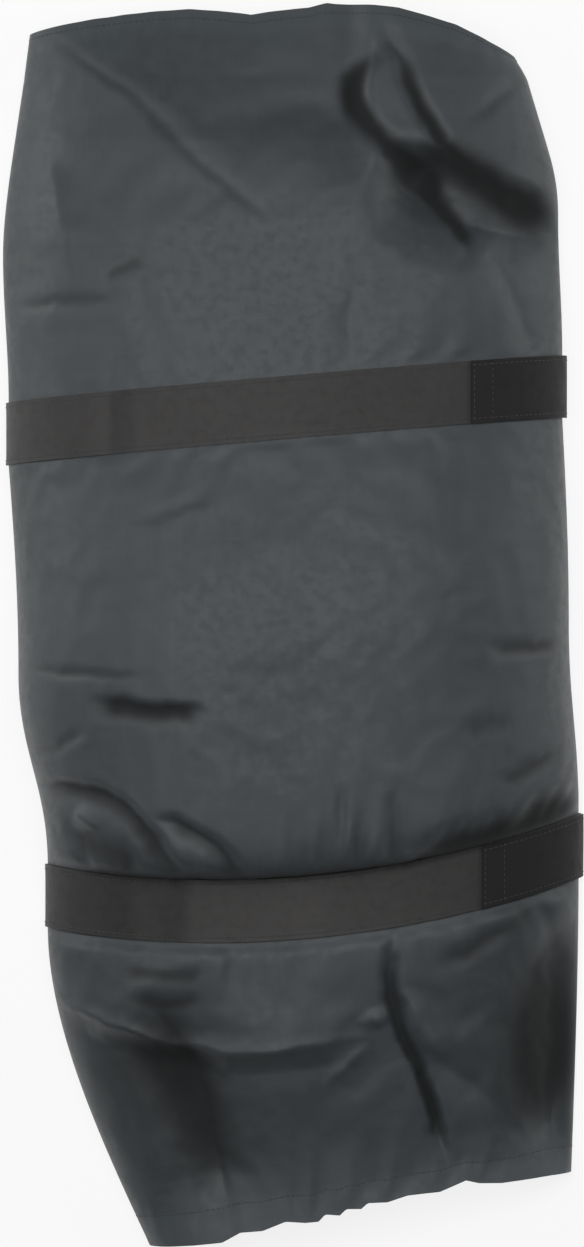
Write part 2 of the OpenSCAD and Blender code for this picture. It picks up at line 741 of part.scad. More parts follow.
module inner_zip_panel() color(lining_colour) zip_panel(inner_zip, lining_room, lining_floor_z);
module inner_zip_upper_tape() color(tape_colour) at_zip(inner_zip_y) zip_tape(1);
module inner_zip_lower_tape() color(tape_colour) at_zip(inner_zip_y) zip_tape(-1);
module inner_zip_upper_teeth() color(teeth_colour) at_zip(inner_zip_y) teeth_row(1);
module inner_zip_lower_teeth() color(teeth_colour) at_zip(inner_zip_y) teeth_row(-1);
module inner_zip_stops() color(metal_colour) at_zip(inner_zip_y) zip_stops();
module inner_zip_slider() color(metal_colour) at_zip(inner_zip_y) slider();
module inner_zip_pull() color(metal_colour) at_zip(inner_zip_y) pull();

hood_front();
hood_back();
chamber_front();
chamber_back();
skirt_front();
skirt_back();
upper_band();
upper_band_lap();
lower_band();
lower_band_lap();
hem_facing();
hem_elastic();
lining_front();
lining_back();
sleeve_panel();
left_sleeve();
right_sleeve();
left_cuff_casing();
right_cuff_casing();
left_cuff_elastic();
right_cuff_elastic();
outer_zip_panel();
outer_zip_upper_tape();
outer_zip_lower_tape();
outer_zip_upper_teeth();
outer_zip_lower_teeth();
outer_zip_stops();
outer_zip_slider();
outer_zip_pull();
inner_zip_panel();
inner_zip_upper_tape();
inner_zip_lower_tape();
inner_zip_upper_teeth();
inner_zip_lower_teeth();
inner_zip_stops();
inner_zip_slider();
inner_zip_pull();
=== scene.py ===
import math

import bpy
import numpy as np
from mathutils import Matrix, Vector, geometry, noise


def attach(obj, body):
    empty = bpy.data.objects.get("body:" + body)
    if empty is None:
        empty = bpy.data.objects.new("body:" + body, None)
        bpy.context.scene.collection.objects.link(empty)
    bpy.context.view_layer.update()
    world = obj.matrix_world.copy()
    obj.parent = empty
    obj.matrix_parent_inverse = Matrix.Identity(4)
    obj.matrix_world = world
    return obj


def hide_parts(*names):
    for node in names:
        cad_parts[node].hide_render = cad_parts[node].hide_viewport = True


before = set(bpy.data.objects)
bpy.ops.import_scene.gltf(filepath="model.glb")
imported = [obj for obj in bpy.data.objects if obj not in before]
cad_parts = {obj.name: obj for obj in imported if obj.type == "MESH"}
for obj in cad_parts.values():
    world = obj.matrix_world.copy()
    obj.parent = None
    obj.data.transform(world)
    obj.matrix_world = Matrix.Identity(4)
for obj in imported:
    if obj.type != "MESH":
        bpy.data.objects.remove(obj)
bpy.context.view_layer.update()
mm = 0.001
print("frame:", len(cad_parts), "CAD nodes")

# ribs of the bag as it lies, from the hem to the edge of the hood, in millimetres and degrees
lyingBag = {
    "ribs": [  # sideways place, along, half width, slant, bow, crown height
        (42, 0, 129.5, 9.6, 4, 34),        # 0 hem
        (13, 165, 163, 5.4, -20, 58),      # 1 lower band, skirt side
        (13, 203, 163, 5.4, -20, 58),      # 2 lower band, chamber side
        (1, 335, 169, 5.15, -5, 88),       # 3 middle of the chamber
        (-4, 467, 170, 4.9, 0, 66),        # 4 upper band, chamber side
        (-4, 505, 170, 4.9, 0, 66),        # 5 upper band, hood side
        (-7, 593, 170.5, 4, 0, 66),        # 6 shoulder
        (-7, 649, 163.5, 0, 0, 57),        # 7 inner zip
        (-10, 689, 154.5, 0, 0, 52),       # 8 outer zip
        (-12, 736, 149, -2.5, 24, 42),     # 9 edge of the hood
    ],
    "blousePower": 0.3,    # less swells more suddenly above the lower band
    "floorLevel": 2.5,     # top of the back cloth
    "bandProud": 1.5,      # how far a band stands off the cloth
    # a fold, and a crease beyond which the hood falls away; an end is a rib and a share of its half width
    "hoodFold": {"from": (6.63, 0.41), "to": (5.87, 0.98), "drop": 16, "wide": 27, "back": 60},
    "hoodCrease": {"from": (8.69, -0.853), "to": (6.75, -0.187), "drop": 8, "slope": 0.17, "reach": 52},
}
ribTable = np.array(lyingBag["ribs"], float)
stations = np.arange(len(ribTable))


def ribAt(s):    # the rib at a station, or between two of them, each stretch with an ease of its own
    s = np.asarray(s, float)
    k = np.clip(np.floor(s).astype(int), 0, len(ribTable) - 2)
    t = s - k
    ease = np.where(k == 0, np.sin(np.pi / 2 * t), (1 - np.cos(np.pi * t)) / 2)
    ease = np.where((k == 3) | (k == 6), 1 - np.cos(np.pi / 2 * t), np.where(k >= 7, t, ease))
    swell = np.where(k == 2, np.sin(np.pi / 2 * np.clip(t, 0, 1) ** lyingBag["blousePower"]), ease)
    share = np.stack([ease, t, ease, ease, ease, swell], -1)
    return ribTable[k] + (ribTable[k + 1] - ribTable[k]) * share


def crownShare(v):    # v runs from -1 at the left rim to 1 at the right rim
    angle = np.pi / 2 * np.abs(v) ** 1.5
    return np.sign(v) * np.sin(angle) ** (2 / 3), np.cos(angle)


def ribLine(rib, across):
    return rib[..., 1] + np.tan(np.radians(rib[..., 3])) * across - rib[..., 4] * (across / rib[..., 2]) ** 2


def smoothStep(a, b, x):
    t = np.clip((x - a) / (b - a), 0, 1)
    return t * t * (3 - 2 * t)


def rimFade(v):    # 0 at the rims, whose seams hold the cloth, and 1 on the crown
    return smoothStep(0, 1, 2 * crownShare(v)[1])


def planPoint(s, share):
    rib = ribAt(s)
    return np.array([rib[0] + rib[2] * share, ribLine(rib, rib[2] * share)])


def besideLine(x, y, start, end):    # share of the way along a line, and millimetres to the left of it
    start, end = planPoint(*start), planPoint(*end)
    length = np.hypot(*(end - start))
    way = (end - start) / length
    along = ((x - start[0]) * way[0] + (y - start[1]) * way[1]) / length
    return along, (y - start[1]) * way[0] - (x - start[0]) * way[1]


def foldDepth(x, y):    # the right side of the hood sinks steeply into its fold
    fold = lyingBag["hoodFold"]
    along, out = besideLine(x, y, fold["from"], fold["to"])
    depth = fold["drop"] * smoothStep(-0.15, 0.25, along) * (1 - smoothStep(0.2, 0.7, along) / 2)
    behind = np.clip(1 + out / fold["back"], 0, 1) ** 1.6
    return depth * np.where(out > 0, 1 - smoothStep(0, fold["wide"], out), behind)


def creaseDepth(x, y):
    crease = lyingBag["hoodCrease"]
    out = besideLine(x, y, crease["from"], crease["to"])[1]
    turn = planPoint(*crease["to"])[0]
    lobe = np.maximum(smoothStep(-12, 12, y - ribTable[7, 1]), smoothStep(-10, 10, turn - x))
    depth = crease["drop"] * (1 - np.exp(-crease["slope"] * np.maximum(out, 0) / crease["drop"]))
    return depth * lobe * smoothStep(0, 20, crease["reach"] - x)


def crownPoints(s, v, grow=0.0, folded=True):
    rib = ribAt(s)
    v = np.asarray(v, float)
    shareX, shareZ = crownShare(v)
    across = rib[..., 2] * shareX
    x, y = rib[..., 0] + across, ribLine(rib, across)
    z = lyingBag["floorLevel"] + (rib[..., 5] + grow) * shareZ
    if folded:
        z = z - np.where(y < ribTable[5, 1], 0, foldDepth(x, y) + creaseDepth(x, y)) * rimFade(v)
    return np.stack([x + grow * shareX, y, z], -1)


# the frame's origin is the middle of the outline, bands included
edgeS = np.linspace(0, 9, 91)[:, None]
edgePoints = crownPoints(edgeS, np.linspace(-1, 1, 21)[None, :],
                         np.where((edgeS >= 1) & (edgeS <= 5), lyingBag["bandProud"], 0.0))
edgePlan = edgePoints[..., :2].reshape(-1, 2)
bagMiddle = np.array([*(edgePlan.min(0) + edgePlan.max(0)) / 2, 0])


def lying(s, v, grow=0.0, folded=True):
    return crownPoints(s, v, grow, folded) - bagMiddle


def placesBetween(low, high, pitch):    # even steps along the middle of the bag
    y = np.interp([low, high], stations, ribTable[:, 1])
    count = max(2, int(math.ceil((y[1] - y[0]) / pitch)) + 1)
    return np.interp(np.linspace(*y, count), ribTable[:, 1], stations)


def bandDistance(s, station):    # millimetres along the bag from a band's edge
    return np.interp(s, stations, ribTable[:, 1]) - ribTable[station, 1]


def softNoise(x, y, size, seed):    # smooth noise of about -1 to 1, the same on every run
    values = [noise.noise(Vector((a / size, b / size, seed))) for a, b in zip(x.ravel(), y.ravel())]
    return np.array(values).reshape(x.shape)


def gridNormals(grid, wrap=False):
    if wrap:
        across = np.roll(grid, -1, 1) - np.roll(grid, 1, 1)
    else:
        across = np.gradient(grid, axis=1)
    out = np.cross(across, np.gradient(grid, axis=0))
    return out / np.maximum(np.linalg.norm(out, axis=-1, keepdims=True), 1e-9)


# folds of the front: kind, millimetre points on the bag's plan, width, height, width on the right, painted
# shade;
# a crease is soft, a drop falls from the left down to its path and comes back on the right, and a groove
# has two steep sides; painted shade is a darker colour along a fold that stands in for the shade in it
clothFolds = {
    "hood": [
        ("groove", [(-150, 362), (-102, 325), (-56, 279), (-6, 237)], 6, 0.8, 6, 0.5),    # slanting crease
        ("drop", [(-176, 320), (-182, 260), (-182, 180)], 44, 5, 10),                     # left rim, lit
        ("drop", [(50, 282), (70, 266), (87, 255), (108, 246), (134, 239), (168, 234)],
         34, 9, 40),                                                                      # forked fold
        ("groove", [(66, 284), (92, 284), (101, 280), (116, 271), (131, 261), (144, 253),
                    (170, 242)], 18, 1.5, 16, 1.0),                                       # its wide branch
        ("groove", [(96, 256), (82, 268), (71, 279), (57, 292), (45, 305), (38, 320),
                    (41, 336), (51, 348), (66, 362)], 12, 3, 11, 0.95),                   # its left arm
        ("groove", [(106, 270), (97, 284), (89, 296), (80, 311), (73, 326), (68, 341),
                    (58, 358), (50, 370)], 9, 3, 9, 0.95),                                # its right arm
        ("groove", [(76, 278), (85, 266), (93, 255), (101, 244), (113, 226)], 9, 2, 8, 0.9), # its tail
        ("groove", [(106, 305), (124, 320), (142, 334)], 8, 0.6, 8, 0.3),
        ("groove", [(-116, 207), (-99, 215), (-86, 222)], 6, 0.6, 6, 0.6),
        ("groove", [(-180, 194), (-139, 195), (-98, 197)], 5, 0.6, 5, 0.48),
        ("crease", [(-149, 290), (-141, 250), (-132, 208)], 9, 2.0),
        ("crease", [(36, 205), (36, 156)], 9, -1.2),
        ("crease", [(118, 232), (140, 190), (152, 150)], 14, -2.5),
    ],
    "chamber": [
        ("groove", [(-96, 60), (-68, 71), (-42, 81)], 8, 0.4, 8, 0.25),
        ("groove", [(-168, -27), (-130, -29), (-84, -33)], 5, 0.7, 5, 0.55),
        ("drop", [(-124, -47), (-86, -51), (-48, -53)], 7, 2.5, 14, 1.0),                 # short deep crease
        ("groove", [(-158, -80), (-140, -74), (-124, -64)], 7, 0.9, 7, 0.4),
        ("drop", [(-164, -96), (-115, -104), (-88, -125), (-74, -142), (-52, -160)],
         8, 4, 14, 0.75),                                                                 # puckers
        ("drop", [(-84, -116), (-50, -131), (-22, -160)], 8, 4, 14, 0.7),
        ("groove", [(-140, -126), (-112, -136), (-84, -150)], 14, 1.5, 14, 0.6),
        ("crease", [(-132, -112), (-116, -124)], 6, 3),
        ("groove", [(31, -96), (30, -150)], 6, 2, 6, 0.5),
        ("groove", [(61, -100), (61, -150)], 6, 2, 6, 0.35),
        ("crease", [(66, -136), (74, -148)], 8, 4),
        ("groove", [(118, -18), (140, -14), (166, -12)], 8, 0.7, 8, 0.7),
        ("groove", [(100, -66), (118, -63), (136, -60)], 14, 0.7, 13, 0.6),
        ("groove", [(124, -99), (142, -90), (164, -77)], 8, 0.8, 8, 0.75),
        ("drop", [(186, -102), (150, -117), (120, -127), (66, -142)], 16, 3, 16, 1.2),
        ("crease", [(104, 113), (100, 39)], 24, -2),
    ],
    "skirt": [
        ("drop", [(-150, -224), (-100, -246), (-62, -257), (-24, -258), (52, -249)],
         58, -8, 16),                                                                     # long ridge
        ("crease", [(-158, -220), (-100, -245), (-62, -256), (-24, -257), (46, -250)], 4, 1.6),
        ("groove", [(62, -182), (60, -228), (76, -268), (96, -336)], 8, 6, 7, 0.6),       # pinched crease
        ("crease", [(48, -232), (54, -246)], 7, 2.5),
        ("crease", [(66, -222), (80, -244), (92, -268)], 7, 3),
        ("crease", [(78, -256), (100, -274), (126, -294)], 11, -2.5),
        ("crease", [(21, -281), (48, -253)], 6, 2),
        ("groove", [(-108, -209), (-78, -213), (-46, -213)], 9, 0.7, 9, 0.8),
        ("groove", [(-102, -229), (-76, -230), (-48, -228)], 8, 0.6, 8, 0.7),
        ("groove", [(88, -210), (120, -190), (156, -166)], 10, 1, 10, 0.75),
        ("drop", [(-36, -372), (-50, -310), (-64, -262), (-96, -222)], 42, 11, 46, 0.55), # left side falls in
        ("drop", [(160, -346), (168, -290), (174, -240), (172, -170)], 50, 12, 20, 0.15), # right falls away
    ],
}


def curveBetween(a, b, c, d, t):    # from b to c, on a smooth curve that also passes a and d
    square, cube = 2 * a - 5 * b + 4 * c - d, 3 * b - a - 3 * c + d
    return 0.5 * (2 * b + (c - a) * t + square * t ** 2 + cube * t ** 3)


def smoothPath(points, pitch=2.5):    # evenly spaced points of a curve through the given ones
    points = np.array(points, float)
    padded = np.vstack([2 * points[0] - points[1], points, 2 * points[-1] - points[-2]])
    t = np.linspace(0, 1, 40, endpoint=False)[:, None]
    dense = [curveBetween(*four, t) for four in zip(padded, padded[1:], padded[2:], padded[3:])]
    dense = np.vstack([*dense, points[-1:]])
    run = np.concatenate([[0], np.cumsum(np.linalg.norm(np.diff(dense, axis=0), axis=1))])
    even = np.linspace(0, run[-1], max(3, int(run[-1] / pitch)))
    line = np.stack([np.interp(even, run, dense[:, i]) for i in (0, 1)], -1)
    return line, np.gradient(line, axis=0), even / run[-1]


# how far the ends taper, as a share of the length, and how far the painted shade spreads, as a share of the
# width
foldForm = {"taper": 0.25, "creaseTaper": 0.38, "paintedShadeReach": 1.25, "paintedShadeWidth": 18}


def foldHeight(x, y, kind, path, width, height, back=0.0, paintedShade=0.0):
    line, heading, share = smoothPath(path)
    away = np.stack([x, y], -1)[..., None, :] - line
    gap = np.sum(away ** 2, -1)
    near = np.argmin(gap, -1)
    offset = np.take_along_axis(away, near[..., None, None], -2)[..., 0, :]
    ahead = heading[near]
    slip = np.clip(np.sum(offset * ahead, -1) / np.maximum(np.sum(ahead ** 2, -1), 1e-9), -0.5, 0.5)
    slip = np.clip(near + slip, 0, len(line) - 1) - near
    offset = offset - slip[..., None] * ahead
    gap = np.hypot(offset[..., 0], offset[..., 1])
    side = np.sign(ahead[..., 0] * offset[..., 1] - ahead[..., 1] * offset[..., 0])
    end = np.interp(near + slip, np.arange(len(line)), np.minimum(share, 1 - share))
    taper = smoothStep(-0.02, foldForm["creaseTaper"] if kind == "crease" else foldForm["taper"], end)
    if kind == "crease":
        u = np.sqrt((gap / (width * (0.45 + 0.55 * taper))) ** 2 + 0.03)
        form = np.exp(0.3 - 1.55 * u) - 0.2 * np.exp(-((u - 2.3) / 1.1) ** 2)
    else:
        fall = 1 - smoothStep(-0.15, 1, gap / np.where(side > 0, width, back))
        form = -np.where((side > 0) | (kind == "groove"), fall, np.clip(1 - gap / back, 0, 1) ** 1.6)
    # painted shade: the colour darkens along the fold's path, standing in for the shade in the fold
    paintedShadeSpan = np.where(side > 0, width, max(1, min(back, foldForm["paintedShadeWidth"])))
    fill = 1 - smoothStep(0.0, foldForm["paintedShadeReach"], gap / paintedShadeSpan)
    return height * taper * form, paintedShade * taper * fill


# sleeves, from the panel that closes the lining to their gathered cuffs
sleeves = {
    "around": 96, "rows": 46, "rootPlace": 1.4737, "cuffPlace": 0.3, "thick": 0.8,
    "rootPitch": 144, "cuffPitch": 124, "rootHalf": (56, 20), "cuffHalf": (45, 10),
    "rootLevel": 24.2, "cuffLevel": 15.9,
    "pleats": 13, "pleatDepth": 1.7, "pleatGrowth": 1.6, "pleatSway": 1.3,
    "clearance": 2.5, "past": 1.12,    # from the sleeves up to the skirt, and past the cuffs
}


def sleeveSection(side, share):    # sideways place, half width, half height and level, from root to cuff
    root = ribAt(1.5)[0] + side * sleeves["rootPitch"] / 2
    cuff = ribAt(sleeves["cuffPlace"])[0] + side * sleeves["cuffPitch"] / 2
    first = (root, *sleeves["rootHalf"], sleeves["rootLevel"])
    last = (cuff, *sleeves["cuffHalf"], sleeves["cuffLevel"])
    return [r + (c - r) * share for r, c in zip(first, last)]


def sleeveTop(s, x):    # height of the sleeves under the skirt
    share = (sleeves["rootPlace"] - s) / (sleeves["rootPlace"] - sleeves["cuffPlace"])
    top = np.zeros_like(x)
    for side in (-1, 1):
        middle, a, b, level = sleeveSection(side, share)
        bow = np.sqrt(np.clip(1 - ((x + bagMiddle[0] - middle) / a) ** 2, 0, 1))
        there = (share > 0) & (share < sleeves["past"]) & (bow > 0)
        top = np.maximum(top, np.where(there, level + b * bow, 0))
    return top


# front cloth of the whole bag, hem to hood, as one grid that is cut into panels later
frontCloth = {
    "rowPitch": 2.0, "columns": 216,
    "cuts": [0, 1, 1.5, 2, 3, 4, 4.5, 5, 7, 8, 9],
    "hemShift": [(-90, 0), (-60, -4), (-43, -5.5), (-32, -1.5), (-18, -3), (-4, 0), (8, -3), (16, -3.7),
                 (20, 0), (29, -2.2), (33, 1), (42, -0.5), (46, 2.4), (58, 0.8), (70, 3), (90, 2.2),
                 (106, 6.8), (114, 4), (128, 2.2), (160, 2), (172, 1)],    # scallops of the gathered hem
    "hemReach": 16,
    "hemFlare": 9, "flareReach": 25,     # the gathered edge stands up a little
    "hoodShift": [(-161, -2), (-108, -5), (-62, -6), (-25, -10), (10, -4), (21, 0), (26, 0), (65, 4),
                  (100, 3), (137, -3)],
    "hoodReach": 26,
    "hoodDroop": 1, "droopReach": 60,    # the free edge of the hood sags
    "hoodFacet": {         # flat fall of the hood beyond a slanting line
        "line": [(-140, 358), (-38, 279)], "slope": 0.17, "most": 10, "round": 3, "rightEnd": 52,
        "lobe": [(-60, 256), (-38, 279), (-14, 298), (8, 302), (30, 297), (60, 292)],
        "fallFade": (-45, 20), "shadeFade": (-8, 6),
    },
    "unevenness": [(1, 70, 3.1), (0.35, 30, 8.7), (0.14, 13, 5.2)],    # height, size, seed
    "wander": [(2.2, 21, 0), (1.1, 8, 1)],                             # so that no fold runs straight
    "wanderSeeds": (1.7, 12.3),
    "gathers": [           # band edge, direction, reach along the bag, height, pleat width, seed
        (2, 1, 13, 5.4, 15, 2.3), (1, -1, 12, 2.6, 19, 7.1), (5, 1, 8, 0.9, 16, 4.4),
        (4, -1, 8, 0.9, 17, 9.2), (0, 1, 12, 2.4, 13, 5.7),
    ],
    "gatherFan": 0.003, "gatherPatch": 90,
    "swells": [(2, 1, 14, 2.5), (1, -1, 13, 3)],    # cloth that puffs out beside the lower band
    "edgeWearAndLight": 26, "hemWearAndLight": 24, "hoodWearAndLight": 32,  # how much the free edges are rubbed and lightened as painted light, and how far in
    # painted shade on the hood's plane beyond the slanting crease, and in the folds
    "lobeGrime": 5, "foldPaintedShade": 15,
    "wear": [              # place, reach, and tone of spots of painted light and painted shade
        (30, -122, 80, 24, 6), (30, -70, 90, 55, 5), (-100, -262, 34, 55, -7), (152, -255, 34, 52, -13),
        (-176, 235, 16, 110, 5), (-112, -138, 30, 16, -5), (50, -300, 80, 32, -3),
    ],
}


def frontPlaces():
    cuts = frontCloth["cuts"]
    runs = [placesBetween(a, b, frontCloth["rowPitch"]) for a, b in zip(cuts, cuts[1:])]
    return np.concatenate([run[:-1] for run in runs] + [[cuts[-1]]])


frontS = frontPlaces()
frontV = np.linspace(-1, 1, frontCloth["columns"] + 1)
frontRest = lying(frontS[:, None], frontV[None, :])


def rowOf(s):
    return int(np.argmin(np.abs(frontS - s)))


def facetDrop(x, y):    # how far the hood falls, and where it is in shade
    facet = frontCloth["hoodFacet"]
    (ax, ay), (bx, by) = facet["line"]
    length = math.hypot(bx - ax, by - ay)
    beyond = ((x - ax) * (ay - by) + (y - ay) * (bx - ax)) / length
    drop = facet["slope"] * facet["round"] * np.logaddexp(0, beyond / facet["round"])
    drop = facet["most"] * np.tanh(drop / facet["most"])
    over = y - np.interp(x, *np.array(facet["lobe"]).T)
    inside = smoothStep(0, -20, x - facet["rightEnd"])
    shady = smoothStep(0, 9, beyond) * smoothStep(*facet["shadeFade"], over) * inside
    return drop * smoothStep(*facet["fallFade"], over) * inside, shady


def hemScallop(x, away):
    return np.interp(x, *np.array(frontCloth["hemShift"]).T) * np.exp(-(away / frontCloth["hemReach"]) ** 2)


def crownGrid():    # the smooth bag, without kinks over the zips
    grid = lying(frontS[:, None], frontV[None, :], folded=False)
    nearby = [lying(np.clip(frontS + shift, 0, 9)[:, None], frontV[None, :], folded=False)[..., 2]
              for shift in np.linspace(-0.5, 0.5, 11)]
    soft = (smoothStep(6, 6.6, frontS) * smoothStep(9, 8.6, frontS))[:, None]
    grid[..., 2] += (np.mean(nearby, 0) - grid[..., 2]) * soft
    return grid


def addFolds(rise, x, y):
    # this gathers the painted shade of all the folds
    crease = 0 * rise
    wander = [sum(reach * softNoise(x, y, size, seed + more) for reach, size, more in frontCloth["wander"])
              for seed in frontCloth["wanderSeeds"]]
    for folds in clothFolds.values():
        for fold in folds:
            height, shade = foldHeight(x + wander[0], y + wander[1], *fold)
            rise += height
            crease = np.maximum(crease, shade)
    return crease


def addGathers(rise, x, s):
    for station, way, reach, height, pleat, seed in frontCloth["gathers"]:
        away = np.maximum(bandDistance(s, station) * way, 0)
        near = (away / reach * np.exp(1 - away / reach)) ** 2 * (away > 0)
        fan = x / (1 + frontCloth["gatherFan"] * away)
        comb = softNoise(fan, 0 * fan, pleat, seed) + 0.5 * softNoise(fan, 0 * fan, pleat * 0.47, seed + 3)
        thick = softNoise(x, 0 * x, frontCloth["gatherPatch"], seed + 11)
        thick = thick + 0.35 * np.abs(x) / 170    # more of them towards the rims
        rise += height * near * comb * (0.35 + 0.65 * smoothStep(-0.1, 0.45, thick))
    for station, way, reach, height in frontCloth["swells"]:
        away = np.maximum(bandDistance(s, station) * way, 0)
        rise += height * away / reach * np.exp(1 - away / reach) * (away > 0)


def dressFront():    # the front cloth, and its fold values with rubbed edges, painted light and painted shade
    grid = crownGrid()
    x, y = grid[..., 0], grid[..., 1]
    facet, shady = facetDrop(x, y)
    onHood = (frontS > 5)[:, None] * rimFade(frontV)
    grid[..., 2] -= onHood * (facet + foldDepth(x + bagMiddle[0], y + bagMiddle[1]))
    s = np.broadcast_to(frontS[:, None], x.shape)
    v = np.broadcast_to(frontV[None, :], x.shape)
    rim = 1 - np.abs(v)
    out = gridNormals(grid)
    rise = sum(height * softNoise(x, y, size, seed) for height, size, seed in frontCloth["unevenness"])
    crease = addFolds(rise, x, y)
    addGathers(rise, x, s)
    free = rimFade(v)
    for low, high in ((1, 2), (4, 5)):    # the bands hold the cloth too
        free = free * smoothStep(-1, 9, np.maximum(-bandDistance(s, low), bandDistance(s, high)))
    rise *= free
    grid = grid + out * rise[..., None]
    hemAway, hoodAway = bandDistance(s, 0), -bandDistance(s, 9)
    flare = frontCloth["hemFlare"] * np.exp(-hemAway / frontCloth["flareReach"])
    grid[..., 2] += flare * smoothStep(0, 0.25, rim)
    grid[..., 1] += hemScallop(x, hemAway)
    hoodShift = np.interp(x, *np.array(frontCloth["hoodShift"]).T)
    grid[..., 1] += hoodShift * np.exp(-(hoodAway / frontCloth["hoodReach"]) ** 2)
    droop = smoothStep(frontCloth["droopReach"], 0, hoodAway) * smoothStep(0, 0.35, rim)
    grid[..., 2] -= frontCloth["hoodDroop"] * droop
    least = np.maximum(sleeveTop(s, grid[..., 0]) + sleeves["clearance"], lyingBag["floorLevel"])
    grid[..., 2] = np.maximum(grid[..., 2], least)
    # the hem and the hood's edge are rubbed and lightened, partly as painted light
    wear = np.exp(-(hemAway / frontCloth["hemWearAndLight"]) ** 2) + np.exp(-(hoodAway / frontCloth["hoodWearAndLight"]) ** 2)
    # painted shade darkens the hood's plane beyond the slanting crease
    wear = frontCloth["edgeWearAndLight"] * wear - frontCloth["lobeGrime"] * shady * onHood
    # spots of painted light where the tone is above nought, and painted shade where it is below
    for atX, atY, wideX, wideY, tone in frontCloth["wear"]:
        wear = wear + tone * np.exp(-((x - atX) / wideX) ** 2 - ((y - atY) / wideY) ** 2)
    # fold values: fold heights, edges rubbed and lit as painted light, spots of painted light and shade,
    # painted shade in folds
    return grid, np.clip(rise, -5, 9) + wear - frontCloth["foldPaintedShade"] * crease * np.sqrt(rimFade(v))


# a short run of slack cloth, held at the rims and the bands, gives the folds their natural form
slackCloth = {
    "step": 2, "slack": 0.015, "frames": 26, "pressure": 0.9, "gravity": 0.3, "hold": 0.2, "cap": 4,
    "keep": 0.22, "mass": 0.15, "stretch": 12, "bend": 8.0, "quality": 6, "airDrag": 2.0,
    "rim": 0.985, "heldRows": ((0.99, 2.01), (3.99, 5.01)), "rimFade": (0.02, 0.3),
}


def gridFaces(index):
    return np.stack([index[:-1, :-1], index[:-1, 1:], index[1:, 1:], index[1:, :-1]], -1).reshape(-1, 4)


def cubicSteps(values, index):    # values along the first axis, read smoothly at fractional places
    low = np.floor(index).astype(int)
    t = (index - low).reshape((-1,) + (1,) * (values.ndim - 1))
    return curveBetween(*[values[np.clip(low + k, 0, len(values) - 1)] for k in (-1, 0, 1, 2)], t)


def slackSheet(start, held):
    index = np.arange(start.shape[0] * start.shape[1]).reshape(start.shape[:2])
    mesh = bpy.data.meshes.new("slackCloth")
    mesh.from_pydata((start.reshape(-1, 3) * mm).tolist(), [], gridFaces(index).tolist())
    cloth = bpy.data.objects.new("slackCloth", mesh)
    bpy.context.scene.collection.objects.link(cloth)
    group = cloth.vertex_groups.new(name="held")
    group.add(index[held].tolist(), 1.0, "REPLACE")
    group.add(index[~held].tolist(), slackCloth["hold"], "REPLACE")
    modifier = cloth.modifiers.new("slack", "CLOTH")
    settings = modifier.settings
    settings.quality = slackCloth["quality"]
    settings.mass = slackCloth["mass"]
    settings.air_damping = slackCloth["airDrag"]
    settings.tension_stiffness = slackCloth["stretch"]
    settings.compression_stiffness = slackCloth["stretch"]
    settings.shear_stiffness = slackCloth["stretch"]
    settings.bending_stiffness = slackCloth["bend"]
    settings.vertex_group_mass = "held"
    settings.shrink_min = -slackCloth["slack"]
    settings.use_pressure = True
    settings.uniform_pressure_force = slackCloth["pressure"]
    settings.effector_weights.gravity = slackCloth["gravity"]
    modifier.collision_settings.use_collision = False
    modifier.point_cache.frame_start, modifier.point_cache.frame_end = 1, slackCloth["frames"]
    return cloth


def runSlack(cloth):    # frame by frame, and then back to the first
    scene = bpy.context.scene
    scene.frame_start, scene.frame_end = 1, slackCloth["frames"]
    for number in range(1, slackCloth["frames"] + 1):
        scene.frame_set(number)
    done = cloth.evaluated_get(bpy.context.evaluated_depsgraph_get()).data
    found = np.empty(len(done.vertices) * 3)
    done.vertices.foreach_get("co", found)
    bpy.data.objects.remove(cloth)
    scene.frame_set(1)
    return found / mm


def relaxFront(grid):
    step = slackCloth["step"]
    rows = np.unique(np.r_[np.arange(0, grid.shape[0], step), grid.shape[0] - 1])
    columns = np.arange(0, grid.shape[1], step)
    start = grid[np.ix_(rows, columns)]
    s, v = np.broadcast_arrays(frontS[rows][:, None], frontV[columns][None, :])
    held = np.abs(v) > slackCloth["rim"]
    for low, high in slackCloth["heldRows"]:
        held = held | ((s >= low) & (s <= high))
    moved = runSlack(slackSheet(start, held)).reshape(start.shape) - start
    far = np.linalg.norm(moved, axis=-1, keepdims=True)
    print("slack cloth moved", far.mean().round(2), "mm on average,", far.max().round(1), "mm at most")
    loose = smoothStep(*slackCloth["rimFade"], 1 - np.abs(v)) * (1 - held)
    moved *= slackCloth["keep"] * np.minimum(1, slackCloth["cap"] / np.maximum(far, 1e-6)) * loose[..., None]
    moved = cubicSteps(moved, np.interp(np.arange(grid.shape[0]), rows, np.arange(len(rows))))
    moved = cubicSteps(moved.swapaxes(0, 1), np.arange(grid.shape[1]) / step).swapaxes(0, 1)
    return grid + moved


frontGrid, frontRise = dressFront()
frontGrid = relaxFront(frontGrid)
print("front cloth:", frontGrid.shape[0], "x", frontGrid.shape[1], "points")

sideSeams = {"turn": (30, 60, 90, 90), "lap": (0, 0, 0, 3.2), "radius": 1.1}


def rolledRims(grid, rise):    # the side seams turn under, on to the back cloth
    turn = np.radians(sideSeams["turn"])
    radius, count = sideSeams["radius"], len(turn)
    down = radius * np.sin(turn)

    def edge(points, way):
        inward = (radius * (1 - np.cos(turn)) + np.array(sideSeams["lap"])) * way
        along = np.repeat(points[:, None, 1], count, 1)
        return np.stack([points[:, None, 0] + inward, along, points[:, None, 2] - down], -1)

    left, right = edge(grid[:, 0], 1)[:, ::-1], edge(grid[:, -1], -1)
    return np.concatenate([left, grid, right], 1), np.pad(rise, ((0, 0), (count, count)))


